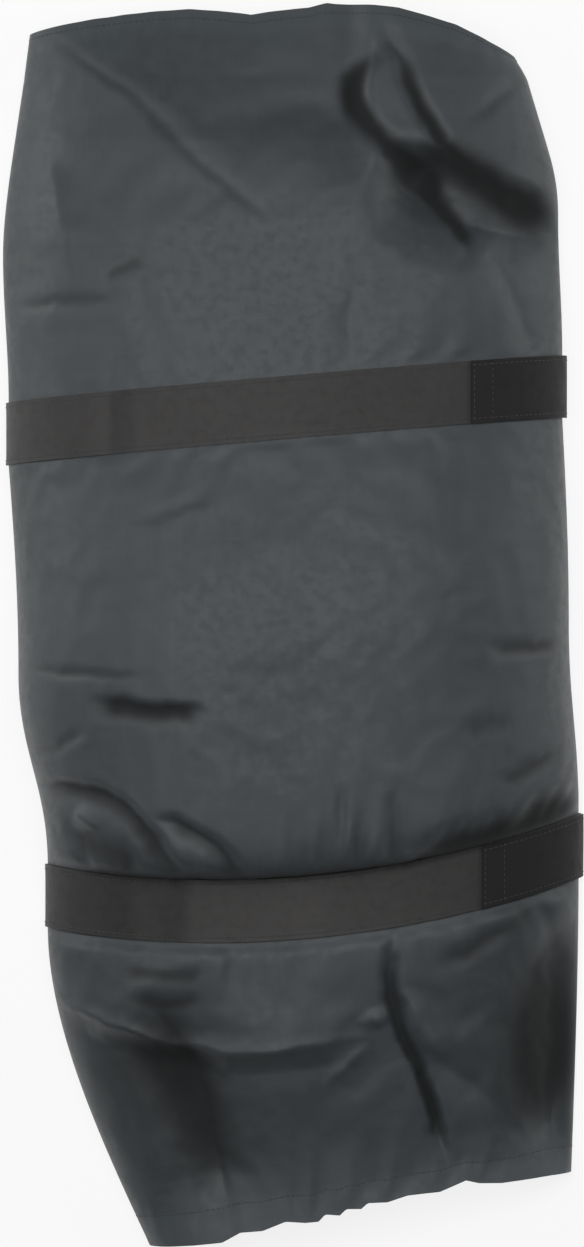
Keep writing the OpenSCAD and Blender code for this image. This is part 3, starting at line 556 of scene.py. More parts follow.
def newPiece(name, points, faces, cut, material, sharp=None):    # a smooth mesh that knows its flat cut
    mesh = bpy.data.meshes.new(name)
    mesh.from_pydata((points * mm).tolist(), [], faces)
    uv = mesh.uv_layers.new(name="cut")
    corners = np.empty(len(mesh.loops), int)
    mesh.loops.foreach_get("vertex_index", corners)
    uv.data.foreach_set("uv", (cut[corners % len(cut)] * mm).ravel())
    mesh.polygons.foreach_set("use_smooth", np.ones(len(mesh.polygons), bool))
    mesh.materials.append(material)
    if sharp:
        mesh.validate()
        mesh.set_sharp_from_angle(angle=math.radians(sharp))
    piece = bpy.data.objects.new(name, mesh)
    bpy.context.scene.collection.objects.link(piece)
    return piece


def clothMesh(name, grid, thick, material, wrap=False, rise=None):    # a sheet with two faces and cut edges
    rows, columns = grid.shape[:2]
    points = np.concatenate([grid.reshape(-1, 3), (grid - gridNormals(grid, wrap) * thick).reshape(-1, 3)])
    index = np.arange(rows * columns).reshape(rows, columns)
    if wrap:
        index = np.concatenate([index, index[:, :1]], 1)
        rims = [index[0], index[-1][::-1]]
    else:
        rims = [np.concatenate([index[0], index[1:, -1], index[-1, ::-1][1:], index[::-1, 0][1:]])]
    top = gridFaces(index)
    under = top[:, ::-1] + rows * columns
    walls = [np.stack([r[1:], r[:-1], r[:-1] + rows * columns, r[1:] + rows * columns], -1) for r in rims]
    faces = np.concatenate([top, under, *walls])
    run = np.cumsum(np.linalg.norm(np.diff(grid, axis=1), axis=-1), 1)
    run = np.concatenate([np.zeros((rows, 1)), run], 1)
    run -= run[:, columns // 2:columns // 2 + 1]
    length = np.cumsum(np.linalg.norm(np.diff(grid[:, columns // 2], axis=0), axis=-1))
    length = np.concatenate([[0], length])
    cut = np.stack([run, np.repeat(length[:, None], columns, 1)], -1).reshape(-1, 2)
    piece = newPiece(name, points, faces.tolist(), cut, material, 70)
    # the fold values also carry rubbed edges and the painted light and shade of the front cloth
    fold = piece.data.attributes.new("fold", "FLOAT", "POINT")
    fold.data.foreach_set("value", np.tile((np.zeros((rows, columns)) if rise is None else rise).ravel(), 2))
    return piece


def asCloth(piece, node):
    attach(piece, "bag")
    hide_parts(node)


# shader nodes, and the groups that several materials share

def shaderGroup(name, inputs, outputs):
    group = bpy.data.node_groups.new(name, "ShaderNodeTree")
    for label, kind, value in inputs:
        socket = group.interface.new_socket(label, in_out="INPUT", socket_type=kind)
        if value is not None:
            socket.default_value = value
    for label in outputs:
        group.interface.new_socket(label, in_out="OUTPUT", socket_type="NodeSocketFloat")
    return group, group.nodes.new("NodeGroupInput"), group.nodes.new("NodeGroupOutput")


def feed(tree, socket, value):    # a link from another node, or a plain value
    if isinstance(value, bpy.types.NodeSocket):
        tree.links.new(value, socket)
    elif value is not None:
        socket.default_value = value


def mathNode(tree, operation, a, b=None, c=None):
    node = tree.nodes.new("ShaderNodeMath")
    node.operation = operation
    for socket, value in zip(node.inputs, (a, b, c)):
        feed(tree, socket, value)
    return node.outputs[0]


def mapRange(tree, value, low, high, toLow, toHigh):
    node = tree.nodes.new("ShaderNodeMapRange")
    node.interpolation_type = "SMOOTHSTEP"
    for socket, given in zip(node.inputs, (value, low, high, toLow, toHigh)):
        feed(tree, socket, given)
    return node.outputs[0]


def noiseNode(tree, vector, scale, detail=2.0, rough=0.5):
    node = tree.nodes.new("ShaderNodeTexNoise")
    for label, value in (("Vector", vector), ("Scale", scale), ("Detail", detail), ("Roughness", rough)):
        feed(tree, node.inputs[label], value)
    return node.outputs[0]


def scaledVector(tree, vector, scale):
    node = tree.nodes.new("ShaderNodeVectorMath")
    node.operation = "MULTIPLY"
    feed(tree, node.inputs[0], vector)
    feed(tree, node.inputs[1], scale)
    return node.outputs[0]


def mixColour(tree, share, low, high, blend="MIX"):
    node = tree.nodes.new("ShaderNodeMix")
    node.data_type, node.blend_type = "RGBA", blend
    feed(tree, node.inputs["Factor"], share)
    for label, colour in (("A", low), ("B", high)):
        socket = [i for i in node.inputs if i.name == label and i.type == "RGBA"][0]
        feed(tree, socket, (*colour, 1) if isinstance(colour, tuple) else colour)
    return [o for o in node.outputs if o.type == "RGBA"][0]


def objectPlace(tree):
    return tree.nodes.new("ShaderNodeTexCoord").outputs["Object"]


def splitVector(tree, vector):
    node = tree.nodes.new("ShaderNodeSeparateXYZ")
    feed(tree, node.inputs[0], vector)
    return node.outputs


def buildThreadWeave():    # crossing threads, with thicker yarns here and there
    group, given, made = shaderGroup(
        "threadWeave",
        [("Cut", "NodeSocketVector", None), ("Warp pitch", "NodeSocketFloat", 0.0006),
         ("Weft pitch", "NodeSocketFloat", 0.0006)], ["Height", "Yarn"])
    cut = given.outputs["Cut"]
    turns = []
    for along, pitch in zip(splitVector(group, cut), ("Warp pitch", "Weft pitch")):
        threads = mathNode(group, "DIVIDE", along, given.outputs[pitch])
        turns.append(mathNode(group, "SINE", mathNode(group, "MULTIPLY", threads, 2 * math.pi)))
    crossing = mathNode(group, "MULTIPLY_ADD", mathNode(group, "MULTIPLY", *turns), 0.5, 0.5)
    warp, weft = [noiseNode(group, scaledVector(group, cut, stretch), 1.0, 1.0)
                  for stretch in ((900, 14, 1), (14, 900, 1))]
    yarn = mathNode(group, "MULTIPLY", mathNode(group, "ADD", warp, weft), 0.5)
    feed(group, made.inputs["Height"], mathNode(group, "MULTIPLY_ADD", yarn, 0.8, crossing))
    feed(group, made.inputs["Yarn"], yarn)
    return group


# how cloth is worn and shaded: its blotches and specks, and the fold values of a ridge, a rubbed edge and a
# crease
# ridges lighter and creases darker as painted light and shade, and edges lighter as wear and painted light
clothWearAndShade = {
    "blotches": (14.0, 3.0, 0.55), "specks": (160.0, 2.0, 0.6), "blotchShare": 0.7, "speckShare": 0.3,
    "ridge": (-16.0, 9.0), "paintedRidgeLight": 0.45, "edge": (12.0, 26.0), "edgeLight": 0.55, "darker": 0.23,
    "crease": (-3.0, -18.0), "worn": (0.75, 1.1),
}


def buildWearAndShade():    # blotches, painted light on ridges, rubbed and lit edges, painted shade in hollows and creases
    group, given, made = shaderGroup(
        "wearAndShade", [("Place", "NodeSocketVector", None), ("Fold", "NodeSocketFloat", 0.0)],
        ["Light", "Worn", "CreaseShade"])
    place, fold = given.outputs["Place"], given.outputs["Fold"]
    broad = noiseNode(group, place, *clothWearAndShade["blotches"])
    fine = noiseNode(group, place, *clothWearAndShade["specks"])
    blend = mathNode(group, "MULTIPLY", fine, clothWearAndShade["speckShare"])
    blend = mathNode(group, "MULTIPLY_ADD", broad, clothWearAndShade["blotchShare"], blend)
    # painted light on ridges and painted shade in hollows, by fold height
    ridge = mapRange(group, fold, *clothWearAndShade["ridge"], 0.0, 1.0)
    light = mathNode(group, "SUBTRACT", blend, clothWearAndShade["darker"])
    light = mathNode(group, "MULTIPLY_ADD", ridge, clothWearAndShade["paintedRidgeLight"], light)
    # rubbed edges, lighter as wear and as painted light
    rubbed = mapRange(group, fold, *clothWearAndShade["edge"], 0.0, clothWearAndShade["edgeLight"])
    feed(group, made.inputs["Light"], mathNode(group, "ADD", rubbed, light))
    worn = mathNode(group, "ADD", fine, mathNode(group, "MULTIPLY", ridge, 0.5))
    feed(group, made.inputs["Worn"], mapRange(group, worn, *clothWearAndShade["worn"], 0.0, 1.0))
    # painted shade in the creases
    feed(group, made.inputs["CreaseShade"], mapRange(group, fold, *clothWearAndShade["crease"], 0.0, 1.0))
    return group


threadWeave = buildThreadWeave()
wearAndShade = buildWearAndShade()


def newMaterial(name):
    material = bpy.data.materials.new(name)
    material.use_nodes = True
    tree = material.node_tree
    return material, tree, tree.nodes["Principled BSDF"]


def placeGroup(tree, group, values):
    node = tree.nodes.new("ShaderNodeGroup")
    node.node_tree = group
    for label, value in values.items():
        feed(tree, node.inputs[label], value)
    return node.outputs


def paintedShadingAcross(tree, colour, paintedShading, span=400):    # painted shade and light across a band: darker and paler stretches, from left to right, for its folds and sides
    node = tree.nodes.new("ShaderNodeValToRGB")
    ramp = node.color_ramp
    ramp.interpolation = "EASE"
    for number, (x, shade) in enumerate(paintedShading):
        element = ramp.elements[number] if number < 2 else ramp.elements.new(0.99)
        element.position = x / span + 0.5
        element.color = (shade, shade, shade, 1)
    across = splitVector(tree, objectPlace(tree))[0]
    feed(tree, node.inputs[0], mathNode(tree, "MULTIPLY_ADD", across, 1 / (span * mm), 0.5))
    return mixColour(tree, 1.0, colour, node.outputs[0], "MULTIPLY")


# creases are darkened as painted shade, towards a share of the darkest colour, and made duller
clothFinish = {"yarnShare": 0.5, "darker": 0.25, "paintedCreaseShade": 0.22, "wornDull": 0.12, "creaseDull": 0.4,
               "sheenRough": 0.45, "threadHeight": 0.0002}


def clothMaterial(name, dark, light, roughness, sheen, warp, weft, bump, paintedShading=None, shine=0.4):
    material, tree, shader = newMaterial(name)
    cut = tree.nodes.new("ShaderNodeUVMap")
    cut.uv_map = "cut"
    fold = tree.nodes.new("ShaderNodeAttribute")
    fold.attribute_name = "fold"
    weave = placeGroup(tree, threadWeave, {"Cut": cut.outputs[0], "Warp pitch": warp, "Weft pitch": weft})
    worn = placeGroup(tree, wearAndShade, {"Place": objectPlace(tree), "Fold": fold.outputs["Fac"]})
    # the mix of dark and light cloth follows blotches, yarns, wear and painted light on ridges and edges
    share = mathNode(tree, "SUBTRACT", worn["Light"], clothFinish["darker"])
    share = mathNode(tree, "MULTIPLY_ADD", weave["Yarn"], clothFinish["yarnShare"], share)
    # painted shade: creases darken towards a share of the cloth's darkest colour
    paintedCreaseShade = tuple(clothFinish["paintedCreaseShade"] * c for c in dark)
    colour = mixColour(tree, worn["CreaseShade"], mixColour(tree, share, dark, light), paintedCreaseShade)
    # painted shade and light of the band's folds
    if paintedShading:
        colour = paintedShadingAcross(tree, colour, paintedShading)
    dull = mathNode(tree, "MULTIPLY", worn["CreaseShade"], clothFinish["creaseDull"])
    dull = mathNode(tree, "MULTIPLY_ADD", worn["Worn"], clothFinish["wornDull"], dull)
    threads = tree.nodes.new("ShaderNodeBump")
    feed(tree, threads.inputs["Strength"], bump)
    feed(tree, threads.inputs["Distance"], clothFinish["threadHeight"])
    feed(tree, threads.inputs["Height"], weave["Height"])
    feed(tree, shader.inputs["Base Color"], colour)
    feed(tree, shader.inputs["Roughness"], mathNode(tree, "ADD", dull, roughness))
    feed(tree, shader.inputs["Sheen Weight"], sheen)
    feed(tree, shader.inputs["Sheen Roughness"], clothFinish["sheenRough"])
    feed(tree, shader.inputs["Specular IOR Level"], shine)
    feed(tree, shader.inputs["Normal"], threads.outputs[0])
    return material


# the bands' folds and the turn of their sides are painted on as darker and paler stretches
upperPaintedShading = [(-180, 0.95), (-128, 0.86), (-120, 1.0), (-113, 1.06), (-107, 0.62), (-99, 0.7), (-92, 1.0),
                (0, 1.04), (22, 0.9), (40, 0.82), (110, 0.84)]    # millimetres from the middle, and the shade painted there
lowerPaintedShading = [(-160, 0.7), (-122, 0.42), (-101, 0.28), (-92, 0.5), (-70, 0.36), (-56, 0.86), (10, 1.0),
                (40, 0.78), (110, 0.62)]
webbing = {"roughness": 0.6, "warp": 0.0011, "weft": 0.0005, "bump": 0.4}
slateCloth = clothMaterial("slateCloth", (0.0203, 0.0246, 0.027), (0.0445, 0.0535, 0.059), 0.46, 0.08,
                           0.0007, 0.0006, 0.25)
upperTape = clothMaterial("upperTape", (0.0222, 0.0208, 0.0203), (0.0345, 0.0325, 0.0318), sheen=0.1,
                          paintedShading=upperPaintedShading, **webbing)
lowerTape = clothMaterial("lowerTape", (0.027, 0.0255, 0.0248), (0.042, 0.0398, 0.0388), sheen=0.1,
                          paintedShading=lowerPaintedShading, **webbing)
lapTape = clothMaterial("lapTape", (0.0076, 0.0074, 0.0074), (0.0122, 0.0118, 0.0118), sheen=0.04,
                        shine=0.22, **webbing)
blackLining = clothMaterial("blackLining", (0.006, 0.006, 0.0062), (0.011, 0.011, 0.0115), 0.65, 0.1,
                            0.0004, 0.0004, 0.2)
braidedElastic = clothMaterial("braidedElastic", (0.010, 0.010, 0.0105), (0.022, 0.022, 0.0225), 0.6, 0.1,
                               0.0015, 0.0009, 0.6)
zipTapeCloth = clothMaterial("zipTapeCloth", (0.008, 0.008, 0.0083), (0.016, 0.016, 0.0165), 0.6, 0.1,
                             0.0009, 0.0006, 0.5)
print("materials:", len(bpy.data.materials))

# outer panels
outerCloth = {"thick": 0.9}


def frontPanel(name, node, low, high):
    rows = slice(rowOf(low), rowOf(high) + 1)
    grid, rise = rolledRims(frontGrid[rows], frontRise[rows])
    piece = clothMesh(name, grid, outerCloth["thick"], slateCloth, rise=rise)
    asCloth(piece, node)


frontPanel("skirtFrontCloth", "skirt_front", 0, 1.5)
frontPanel("chamberFrontCloth", "chamber_front", 1.5, 4.5)
frontPanel("hoodFrontCloth", "hood_front", 4.5, 9)

backCloth = {"rowPitch": 5, "columns": 70, "level": 2.45, "inset": 1.0,
             "puckers": 0.5, "lowest": -0.4, "seed": 6.4}


def flatGrid(low, high, level, inset):
    s = placesBetween(low, high, backCloth["rowPitch"])
    v = np.linspace(-1, 1, backCloth["columns"] + 1)
    share, _ = crownShare(np.sign(v) * np.abs(v) ** 0.66)
    rib = ribAt(s)[:, None, :]
    across = (rib[..., 2] - inset) * share
    grid = np.stack([rib[..., 0] + across, ribLine(rib, across), 0 * across], -1) - bagMiddle
    x, y = grid[..., 0], grid[..., 1]
    lift = softNoise(x, y, 38, backCloth["seed"]) + 0.5 * softNoise(x, y, 15, backCloth["seed"] + 2)
    lift = np.maximum(backCloth["puckers"] * lift, backCloth["lowest"])
    grid[..., 2] = level + lift * smoothStep(0, 0.1, 1 - np.abs(share))
    grid[..., 1] += hemScallop(x, bandDistance(s, 0)[:, None])
    return grid


def backPanel(name, node, low, high):
    grid = flatGrid(low, high, backCloth["level"], backCloth["inset"])
    asCloth(clothMesh(name, grid, outerCloth["thick"], slateCloth), node)


backPanel("skirtBackCloth", "skirt_back", 0, 1.5)
backPanel("chamberBackCloth", "chamber_back", 1.5, 4.5)
backPanel("hoodBackCloth", "hood_back", 4.5, 8)
print("outer panels done")

# bands sewn right round the bag, and their lapped ends
sewnBands = {"thick": 1.2, "corner": 2.2, "rows": 15, "frontColumns": 150, "underColumns": 60, "ripple": 0.5,
             "edgeCurl": 0.25}


def loopGrid(s, front, grow, low, corner, underColumns):    # front, right rim, under the bag and left rim
    rib = ribAt(s)[:, None, :]
    edge = rib[..., 2] + grow
    turn = np.radians(np.linspace(0, 90, 6))
    under = np.linspace(1, -1, underColumns)[1:-1]
    flank = edge - corner + corner * np.cos(turn)
    rise = low + corner - corner * np.sin(turn)
    across = np.concatenate([flank, (edge - corner) * under, -flank[:, ::-1]], 1)
    level = np.concatenate([rise, 0 * under + low, rise[::-1]])
    back = np.stack([rib[..., 0] + across, ribLine(rib, across), np.broadcast_to(level, across.shape)], -1)
    return np.concatenate([front, back - bagMiddle], 1)


def bandGrid(low, high, seed):
    s = np.linspace(low, high, sewnBands["rows"])
    v = np.linspace(-1, 1, sewnBands["frontColumns"] + 1)
    front = lying(s[:, None], v[None, :], lyingBag["bandProud"])
    share = np.linspace(-1, 1, sewnBands["rows"])[:, None]
    ripple = softNoise(front[..., 0], front[..., 1] * 0.6, 26, seed) * smoothStep(0, 0.1, 1 - np.abs(v))
    lift = sewnBands["ripple"] * ripple + sewnBands["edgeCurl"] * share ** 6
    front = front + gridNormals(front) * lift[..., None]
    return loopGrid(s, front, lyingBag["bandProud"], 0, sewnBands["corner"], sewnBands["underColumns"])


def sewnBand(name, node, low, high, tape, seed):
    grid = bandGrid(low, high, seed)
    piece = clothMesh(name, grid, sewnBands["thick"], tape, wrap=True)
    asCloth(piece, node)
    return grid


lowerGrid = sewnBand("lowerBandTape", "lower_band", 1, 2, lowerTape, 3.7)
upperGrid = sewnBand("upperBandTape", "upper_band", 4, 5, upperTape, 8.3)

lappedEnds = {"thick": 1.0, "proud": 2.8, "columns": 60, "freeLift": 0.5, "ripple": 0.35,
              "foot": (0.6, 1.2, 1.8)}


def lapGrid(low, high, start, seed):
    s = np.linspace(low, high, sewnBands["rows"])[:, None]
    v = np.linspace(start, 1, lappedEnds["columns"] + 1)[None, :]
    grid = lying(s, v, lappedEnds["proud"])
    ripple = np.abs(softNoise(grid[..., 0], grid[..., 1] * 0.6, 22, seed))
    lift = lappedEnds["freeLift"] * smoothStep(start + 0.05, start, v) + lappedEnds["ripple"] * ripple
    grid = grid + gridNormals(grid) * lift[..., None]
    foot = grid[:, -1:] + np.array([0, 0, -1.0]) * np.array(lappedEnds["foot"])[None, :, None]
    return np.concatenate([grid, foot], 1)


def lappedEnd(name, node, low, high, start, seed):
    grid = lapGrid(low, high, start, seed)
    piece = clothMesh(name, grid, lappedEnds["thick"], lapTape)
    asCloth(piece, node)
    return grid


lowerLap = lappedEnd("lowerBandLap", "lower_band_lap", 1, 2, 0.47, 5.5)
upperLap = lappedEnd("upperBandLap", "upper_band_lap", 4, 5, 0.5, 1.9)
print("bands done")

# turned hem: elastic in a casing between the skirt and its facing, each with its inset and thickness
turnedHem = {"low": 0.0085, "high": 0.0765, "rows": 7, "elastic": (1.3, 1.2), "facing": (2.8, 1.0),
             "corner": 0.6, "sink": 1.0, "underColumns": 90}


def hemLoop(name, node, slot, inset, thick, material, cut):
    s = np.linspace(turnedHem["low"], turnedHem["high"], turnedHem["rows"])
    row = np.interp(s, frontS, np.arange(len(frontS)))
    low = np.floor(row).astype(int)
    share = (row - low)[:, None, None]
    front = frontGrid[low, ::2] * (1 - share) + frontGrid[low + 1, ::2] * share
    front = front - gridNormals(frontGrid)[low, ::2] * inset
    level = lyingBag["floorLevel"] + inset
    front[..., 2] = np.maximum(front[..., 2], level)
    low = level - turnedHem["sink"]
    grid = loopGrid(s, front, -inset, low, turnedHem["corner"], turnedHem["underColumns"])
    under = grid[:, front.shape[1]:]
    under[..., 1] += hemScallop(under[..., 0], bandDistance(s, 0)[:, None])
    asCloth(clothMesh(name, grid, thick, material, wrap=True), node)


hemLoop("hemElastic", "hem_elastic", "elastic", *turnedHem["elastic"], braidedElastic, (0.55, 0.0115))
hemLoop("hemFacing", "hem_facing", "cloth", *turnedHem["facing"], slateCloth, (0.55, 0.0115))

# lining bag inside the chamber and the hood
liningBag = {"inset": 1.8, "thick": 0.8, "low": 1.52, "high": 7, "clearance": 0.2,
             "backLevel": 3.65, "backInset": 2.6}


def outwardRise():    # how far the dressed cloth stands off the smooth bag
    return np.sum((frontGrid - frontRest) * gridNormals(frontRest), -1)


def lowestNearby(values, reach):
    padded = np.pad(values, reach, mode="edge")
    rows, columns = values.shape
    shifts = range(2 * reach + 1)
    return np.min([padded[i:i + rows, j:j + columns] for i in shifts for j in shifts], 0)


def lineChamber():
    rows = slice(rowOf(liningBag["low"]) + 1, rowOf(liningBag["high"]) + 1)
    rise = lowestNearby(outwardRise(), 4) - liningBag["inset"]
    inner = frontRest + gridNormals(frontRest) * rise[..., None]
    inner[..., 2] = np.maximum(inner[..., 2], lyingBag["floorLevel"] + liningBag["clearance"])
    front = clothMesh("liningFront", inner[rows][::2, ::2], liningBag["thick"], blackLining)
    asCloth(front, "lining_front")
    grid = flatGrid(liningBag["low"], liningBag["high"], liningBag["backLevel"], liningBag["backInset"])
    back = clothMesh("liningBack", grid, liningBag["thick"], blackLining)
    asCloth(back, "lining_back")


lineChamber()


def insideLoop(point, loop):
    a, b = loop, np.roll(loop, -1, 0)
    crosses = (a[:, 1] > point[1]) != (b[:, 1] > point[1])
    at = a[:, 0] + (point[1] - a[:, 1]) / np.where(crosses, b[:, 1] - a[:, 1], 1) * (b[:, 0] - a[:, 0])
    return np.count_nonzero(crosses & (point[0] < at)) % 2 == 1


def cutPanel(name, outline, holes, pitch, place, thick, material):    # cut flat, then set in place
    loops = [outline, *holes]
    points, edges = [], []
    for loop in loops:
        first = len(points)
        points += loop.tolist()
        edges += [(first + i, first + (i + 1) % len(loop)) for i in range(len(loop))]
    low, high = outline.min(0), outline.max(0)
    for a in np.arange(low[0] + pitch, high[0], pitch):
        for b in np.arange(low[1] + pitch * 0.6, high[1], pitch):
            gap = min(np.min(np.hypot(*(loop - (a, b)).T)) for loop in loops)
            if gap > pitch * 0.55:
                points.append([a, b])
    cut, _, faces, *_ = geometry.delaunay_2d_cdt([Vector(p) for p in points], edges, [], 1, 1e-4)
    cut = np.array([tuple(p) for p in cut])
    faces = [list(f) for f in faces if not any(insideLoop(cut[list(f)].mean(0), hole) for hole in holes)]
    sides = {(a, b): True for face in faces for a, b in zip(face, [*face[1:], face[0]])}
    walls = [(b, a, a + len(cut), b + len(cut)) for a, b in sides if (b, a) not in sides]
    under = [[i + len(cut) for i in f][::-1] for f in faces]
    points = np.concatenate([place(cut, 0.0), place(cut, thick)])
    return newPiece(name, points, faces + under + walls, cut, material, 60)


def sleeveAngles(count):
    return np.linspace(0, 2 * np.pi, count, endpoint=False)


def sleeveRing(side, share, shrink, count=sleeves["around"]):
    rib = ribAt(sleeves["rootPlace"] + (sleeves["cuffPlace"] - sleeves["rootPlace"]) * share)
    middle, a, b, level = sleeveSection(side, share)
    angle = sleeveAngles(count)
    x = middle + (a - shrink) * np.cos(angle)
    return np.stack([x, ribLine(rib, x - rib[0]), level + (b - shrink) * np.sin(angle)], -1) - bagMiddle


def pleatDepth(side, share):
    angle = sleeveAngles(sleeves["around"])
    wave = np.cos(sleeves["pleats"] * angle + sleeves["pleatSway"] * np.sin(2 * angle + side) + side)
    return sleeves["pleatDepth"] * share ** sleeves["pleatGrowth"] * (0.5 + 0.5 * wave)


def makeSleeve(side, name, node):
    shares = np.linspace(0, 1, sleeves["rows"])
    grid = np.array([sleeveRing(side, share, pleatDepth(side, share)) for share in shares])
    piece = clothMesh(name, grid, sleeves["thick"], blackLining, wrap=True)
    asCloth(piece, node)


def ringPiece(name, loops, material):    # closed ring from loops that follow each other round its section
    rows, columns = loops.shape[:2]
    index = np.arange(rows * columns).reshape(rows, columns)
    a, b = index, np.roll(index, -1, 1)
    faces = np.stack([a, b, np.roll(b, -1, 0), np.roll(a, -1, 0)], -1).reshape(-1, 4)
    cut = np.stack(np.meshgrid(np.arange(columns) * 2.0, np.arange(rows) * 1.2), -1).reshape(-1, 2)
    return newPiece(name, loops.reshape(-1, 3), faces.tolist(), cut, material)


gatheredCuffs = {"casing": 3.4, "length": 7.4, "start": 0.3, "elasticIn": 1.15, "elasticThick": 1.1,
                 "elasticStart": 1.0, "elasticWidth": 6, "frill": 0.5, "roundness": 0.6}


def cuffRing(name, side, section, material):    # the section's points are inwards and along the sleeve
    frill = pleatDepth(side, 1) * gatheredCuffs["frill"]
    loops = [sleeveRing(side, 1, inward + frill) - np.array([0, 1, 0]) * along for inward, along in section]
    return ringPiece(name, np.array(loops), material)


def makeCuff(side, name, node, elasticName, elasticNode):
    turn = np.radians(np.arange(0, 360, 24))
    inward, along = [np.sign(wave) * np.abs(wave) ** gatheredCuffs["roundness"]
                     for wave in (np.cos(turn), np.sin(turn))]
    half, reach = gatheredCuffs["casing"] / 2, gatheredCuffs["length"] / 2
    section = zip(half - half * inward, gatheredCuffs["start"] + reach + reach * along)
    asCloth(cuffRing(name, side, section, blackLining), node)
    outer, inner = gatheredCuffs["elasticIn"], gatheredCuffs["elasticIn"] + gatheredCuffs["elasticThick"]
    low = gatheredCuffs["elasticStart"]
    high = low + gatheredCuffs["elasticWidth"]
    section = [(outer, low), (outer, high), (inner, high), (inner, low)]
    elastic = cuffRing(elasticName, side, section, braidedElastic)
    asCloth(elastic, elasticNode)


makeSleeve(-1, "leftSleeve", "left_sleeve")
makeSleeve(1, "rightSleeve", "right_sleeve")
makeCuff(-1, "leftCuff", "left_cuff_casing", "leftCuffElastic", "left_cuff_elastic")
makeCuff(1, "rightCuff", "right_cuff_casing", "rightCuffElastic", "right_cuff_elastic")

sleeveEnd = {"thick": 0.8, "inset": 1.4, "topInset": 1.8, "level": 2.9, "ahead": 0.4,
             "holeInset": 0.5, "holePoints": 64, "pitch": 6}


def makeSleevePanel():
    rib = ribAt(1.5)
    x, z = crownShare(np.linspace(-1, 1, 81))
    outline = np.stack([rib[0] + (rib[2] - sleeveEnd["inset"]) * x - bagMiddle[0],
                        sleeveEnd["level"] + (rib[5] - sleeveEnd["topInset"]) * z], -1)[::-1]
    holes = [sleeveRing(side, 0, sleeveEnd["holeInset"], sleeveEnd["holePoints"])[:, [0, 2]]
             for side in (-1, 1)]

    def place(cut, depth):
        y = ribLine(rib, cut[:, 0] + bagMiddle[0] - rib[0]) - bagMiddle[1] + sleeveEnd["ahead"] - depth
        return np.stack([cut[:, 0], y, cut[:, 1]], -1)

    panel = cutPanel("sleevePanel", outline, holes, sleeveEnd["pitch"], place, sleeveEnd["thick"],
                     blackLining)
    asCloth(panel, "sleeve_panel")


makeSleevePanel()
print("lining and sleeves done")

# zips under the hood: cloth ends with a slot each, and the tapes behind it
zips = {
    "shift": -10, "level": 18, "slotLength": 249, "slotHalf": 7.4, "slotRound": 3,
    "panelThick": 1.0, "panelPitch": 5, "pucker": 1.6, "puckerSize": 19,
    "tapeLength": 252, "tapeMiddle": -1.65, "tapeThick": 0.7, "tapeLow": 3.68, "tapeHigh": 12.6,
    "tapeRows": 8, "tapeColumns": 106,
}


def roundedSlot(margin=0.0):
    points = []
    a, b, r = zips["slotLength"] / 2 + margin, zips["slotHalf"] + margin, zips["slotRound"] + margin
    for cx, cz, start in ((a - r, b - r, 0), (r - a, b - r, 90), (r - a, r - b, 180), (a - r, r - b, 270)):
        for turn in np.radians(np.linspace(start, start + 90, 6)):
            points.append((cx + r * math.cos(turn), cz + r * math.sin(turn)))
    dense = []
    for p, q in zip(points, points[1:] + points[:1]):
        count = max(1, int(math.dist(p, q) / 6))
        dense += [(p[0] + (q[0] - p[0]) * i / count, p[1] + (q[1] - p[1]) * i / count) for i in range(count)]
    return np.array(dense) + (zips["shift"] - bagMiddle[0], zips["level"])


def zipTape(name, node, part, side, y):
    across = np.linspace(-zips["tapeLength"] / 2, zips["tapeLength"] / 2, zips["tapeColumns"])
    across = across + zips["shift"] - bagMiddle[0]
    level = np.linspace(zips["tapeLow"], zips["tapeHigh"], zips["tapeRows"]) * side
    grid = np.zeros((zips["tapeRows"], zips["tapeColumns"], 3))
    grid[..., 0] = across[None, ::-side]
    grid[..., 1] = y + zips["tapeMiddle"] + zips["tapeThick"] / 2
    grid[..., 2] = zips["level"] + level[:, None]
    tape = clothMesh(f"{name}{part.capitalize()}Tape", grid, zips["tapeThick"], zipTapeCloth)
    asCloth(tape, f"{node}_{part}_tape")


def makeZip(name, node, station, inset, base, material, seed):
    y = ribTable[station, 1] - bagMiddle[1]
    row = rowOf(station)
    rise = np.minimum(lowestNearby(outwardRise(), 3)[row], 0) - inset
    edge = frontRest[row] + gridNormals(frontRest)[row] * rise[:, None]
    outline = np.stack([edge[:, 0], np.maximum(edge[:, 2], base)], -1)[::-2]

    def place(cut, depth):
        past = np.abs(cut[:, 0] - zips["shift"] + bagMiddle[0]) - zips["slotLength"] / 2
        fromSlot = np.maximum(past, np.abs(cut[:, 1] - zips["level"]) - zips["slotHalf"])
        puff = 0.5 + 0.5 * softNoise(cut[:, 0], cut[:, 1], zips["puckerSize"], seed)
        puff = zips["pucker"] * smoothStep(4, 18, fromSlot) * puff
        return np.stack([cut[:, 0], y + puff - depth, cut[:, 1]], -1)

    panel = cutPanel(name + "Panel", outline, [roundedSlot()], zips["panelPitch"], place, zips["panelThick"],
                     material)
    asCloth(panel, node + "_panel")
    zipTape(name, node, "upper", 1, y)
    zipTape(name, node, "lower", -1, y)


makeZip("outerZip", "outer_zip", 8, 1.3, 2.5, slateCloth, 4.1)
makeZip("innerZip", "inner_zip", 7, 2.4, 3.6, blackLining, 7.7)
print("zips done")

# teeth, stops, sliders and pulls keep their CAD shape and get a finish
hardParts = {"teethColour": (0.011, 0.011, 0.012), "teethRough": (0.36, 0.56), "nickel": (0.56, 0.54, 0.50),
             "worn": (0.33, 0.27, 0.17), "nickelRough": (0.27, 0.49)}


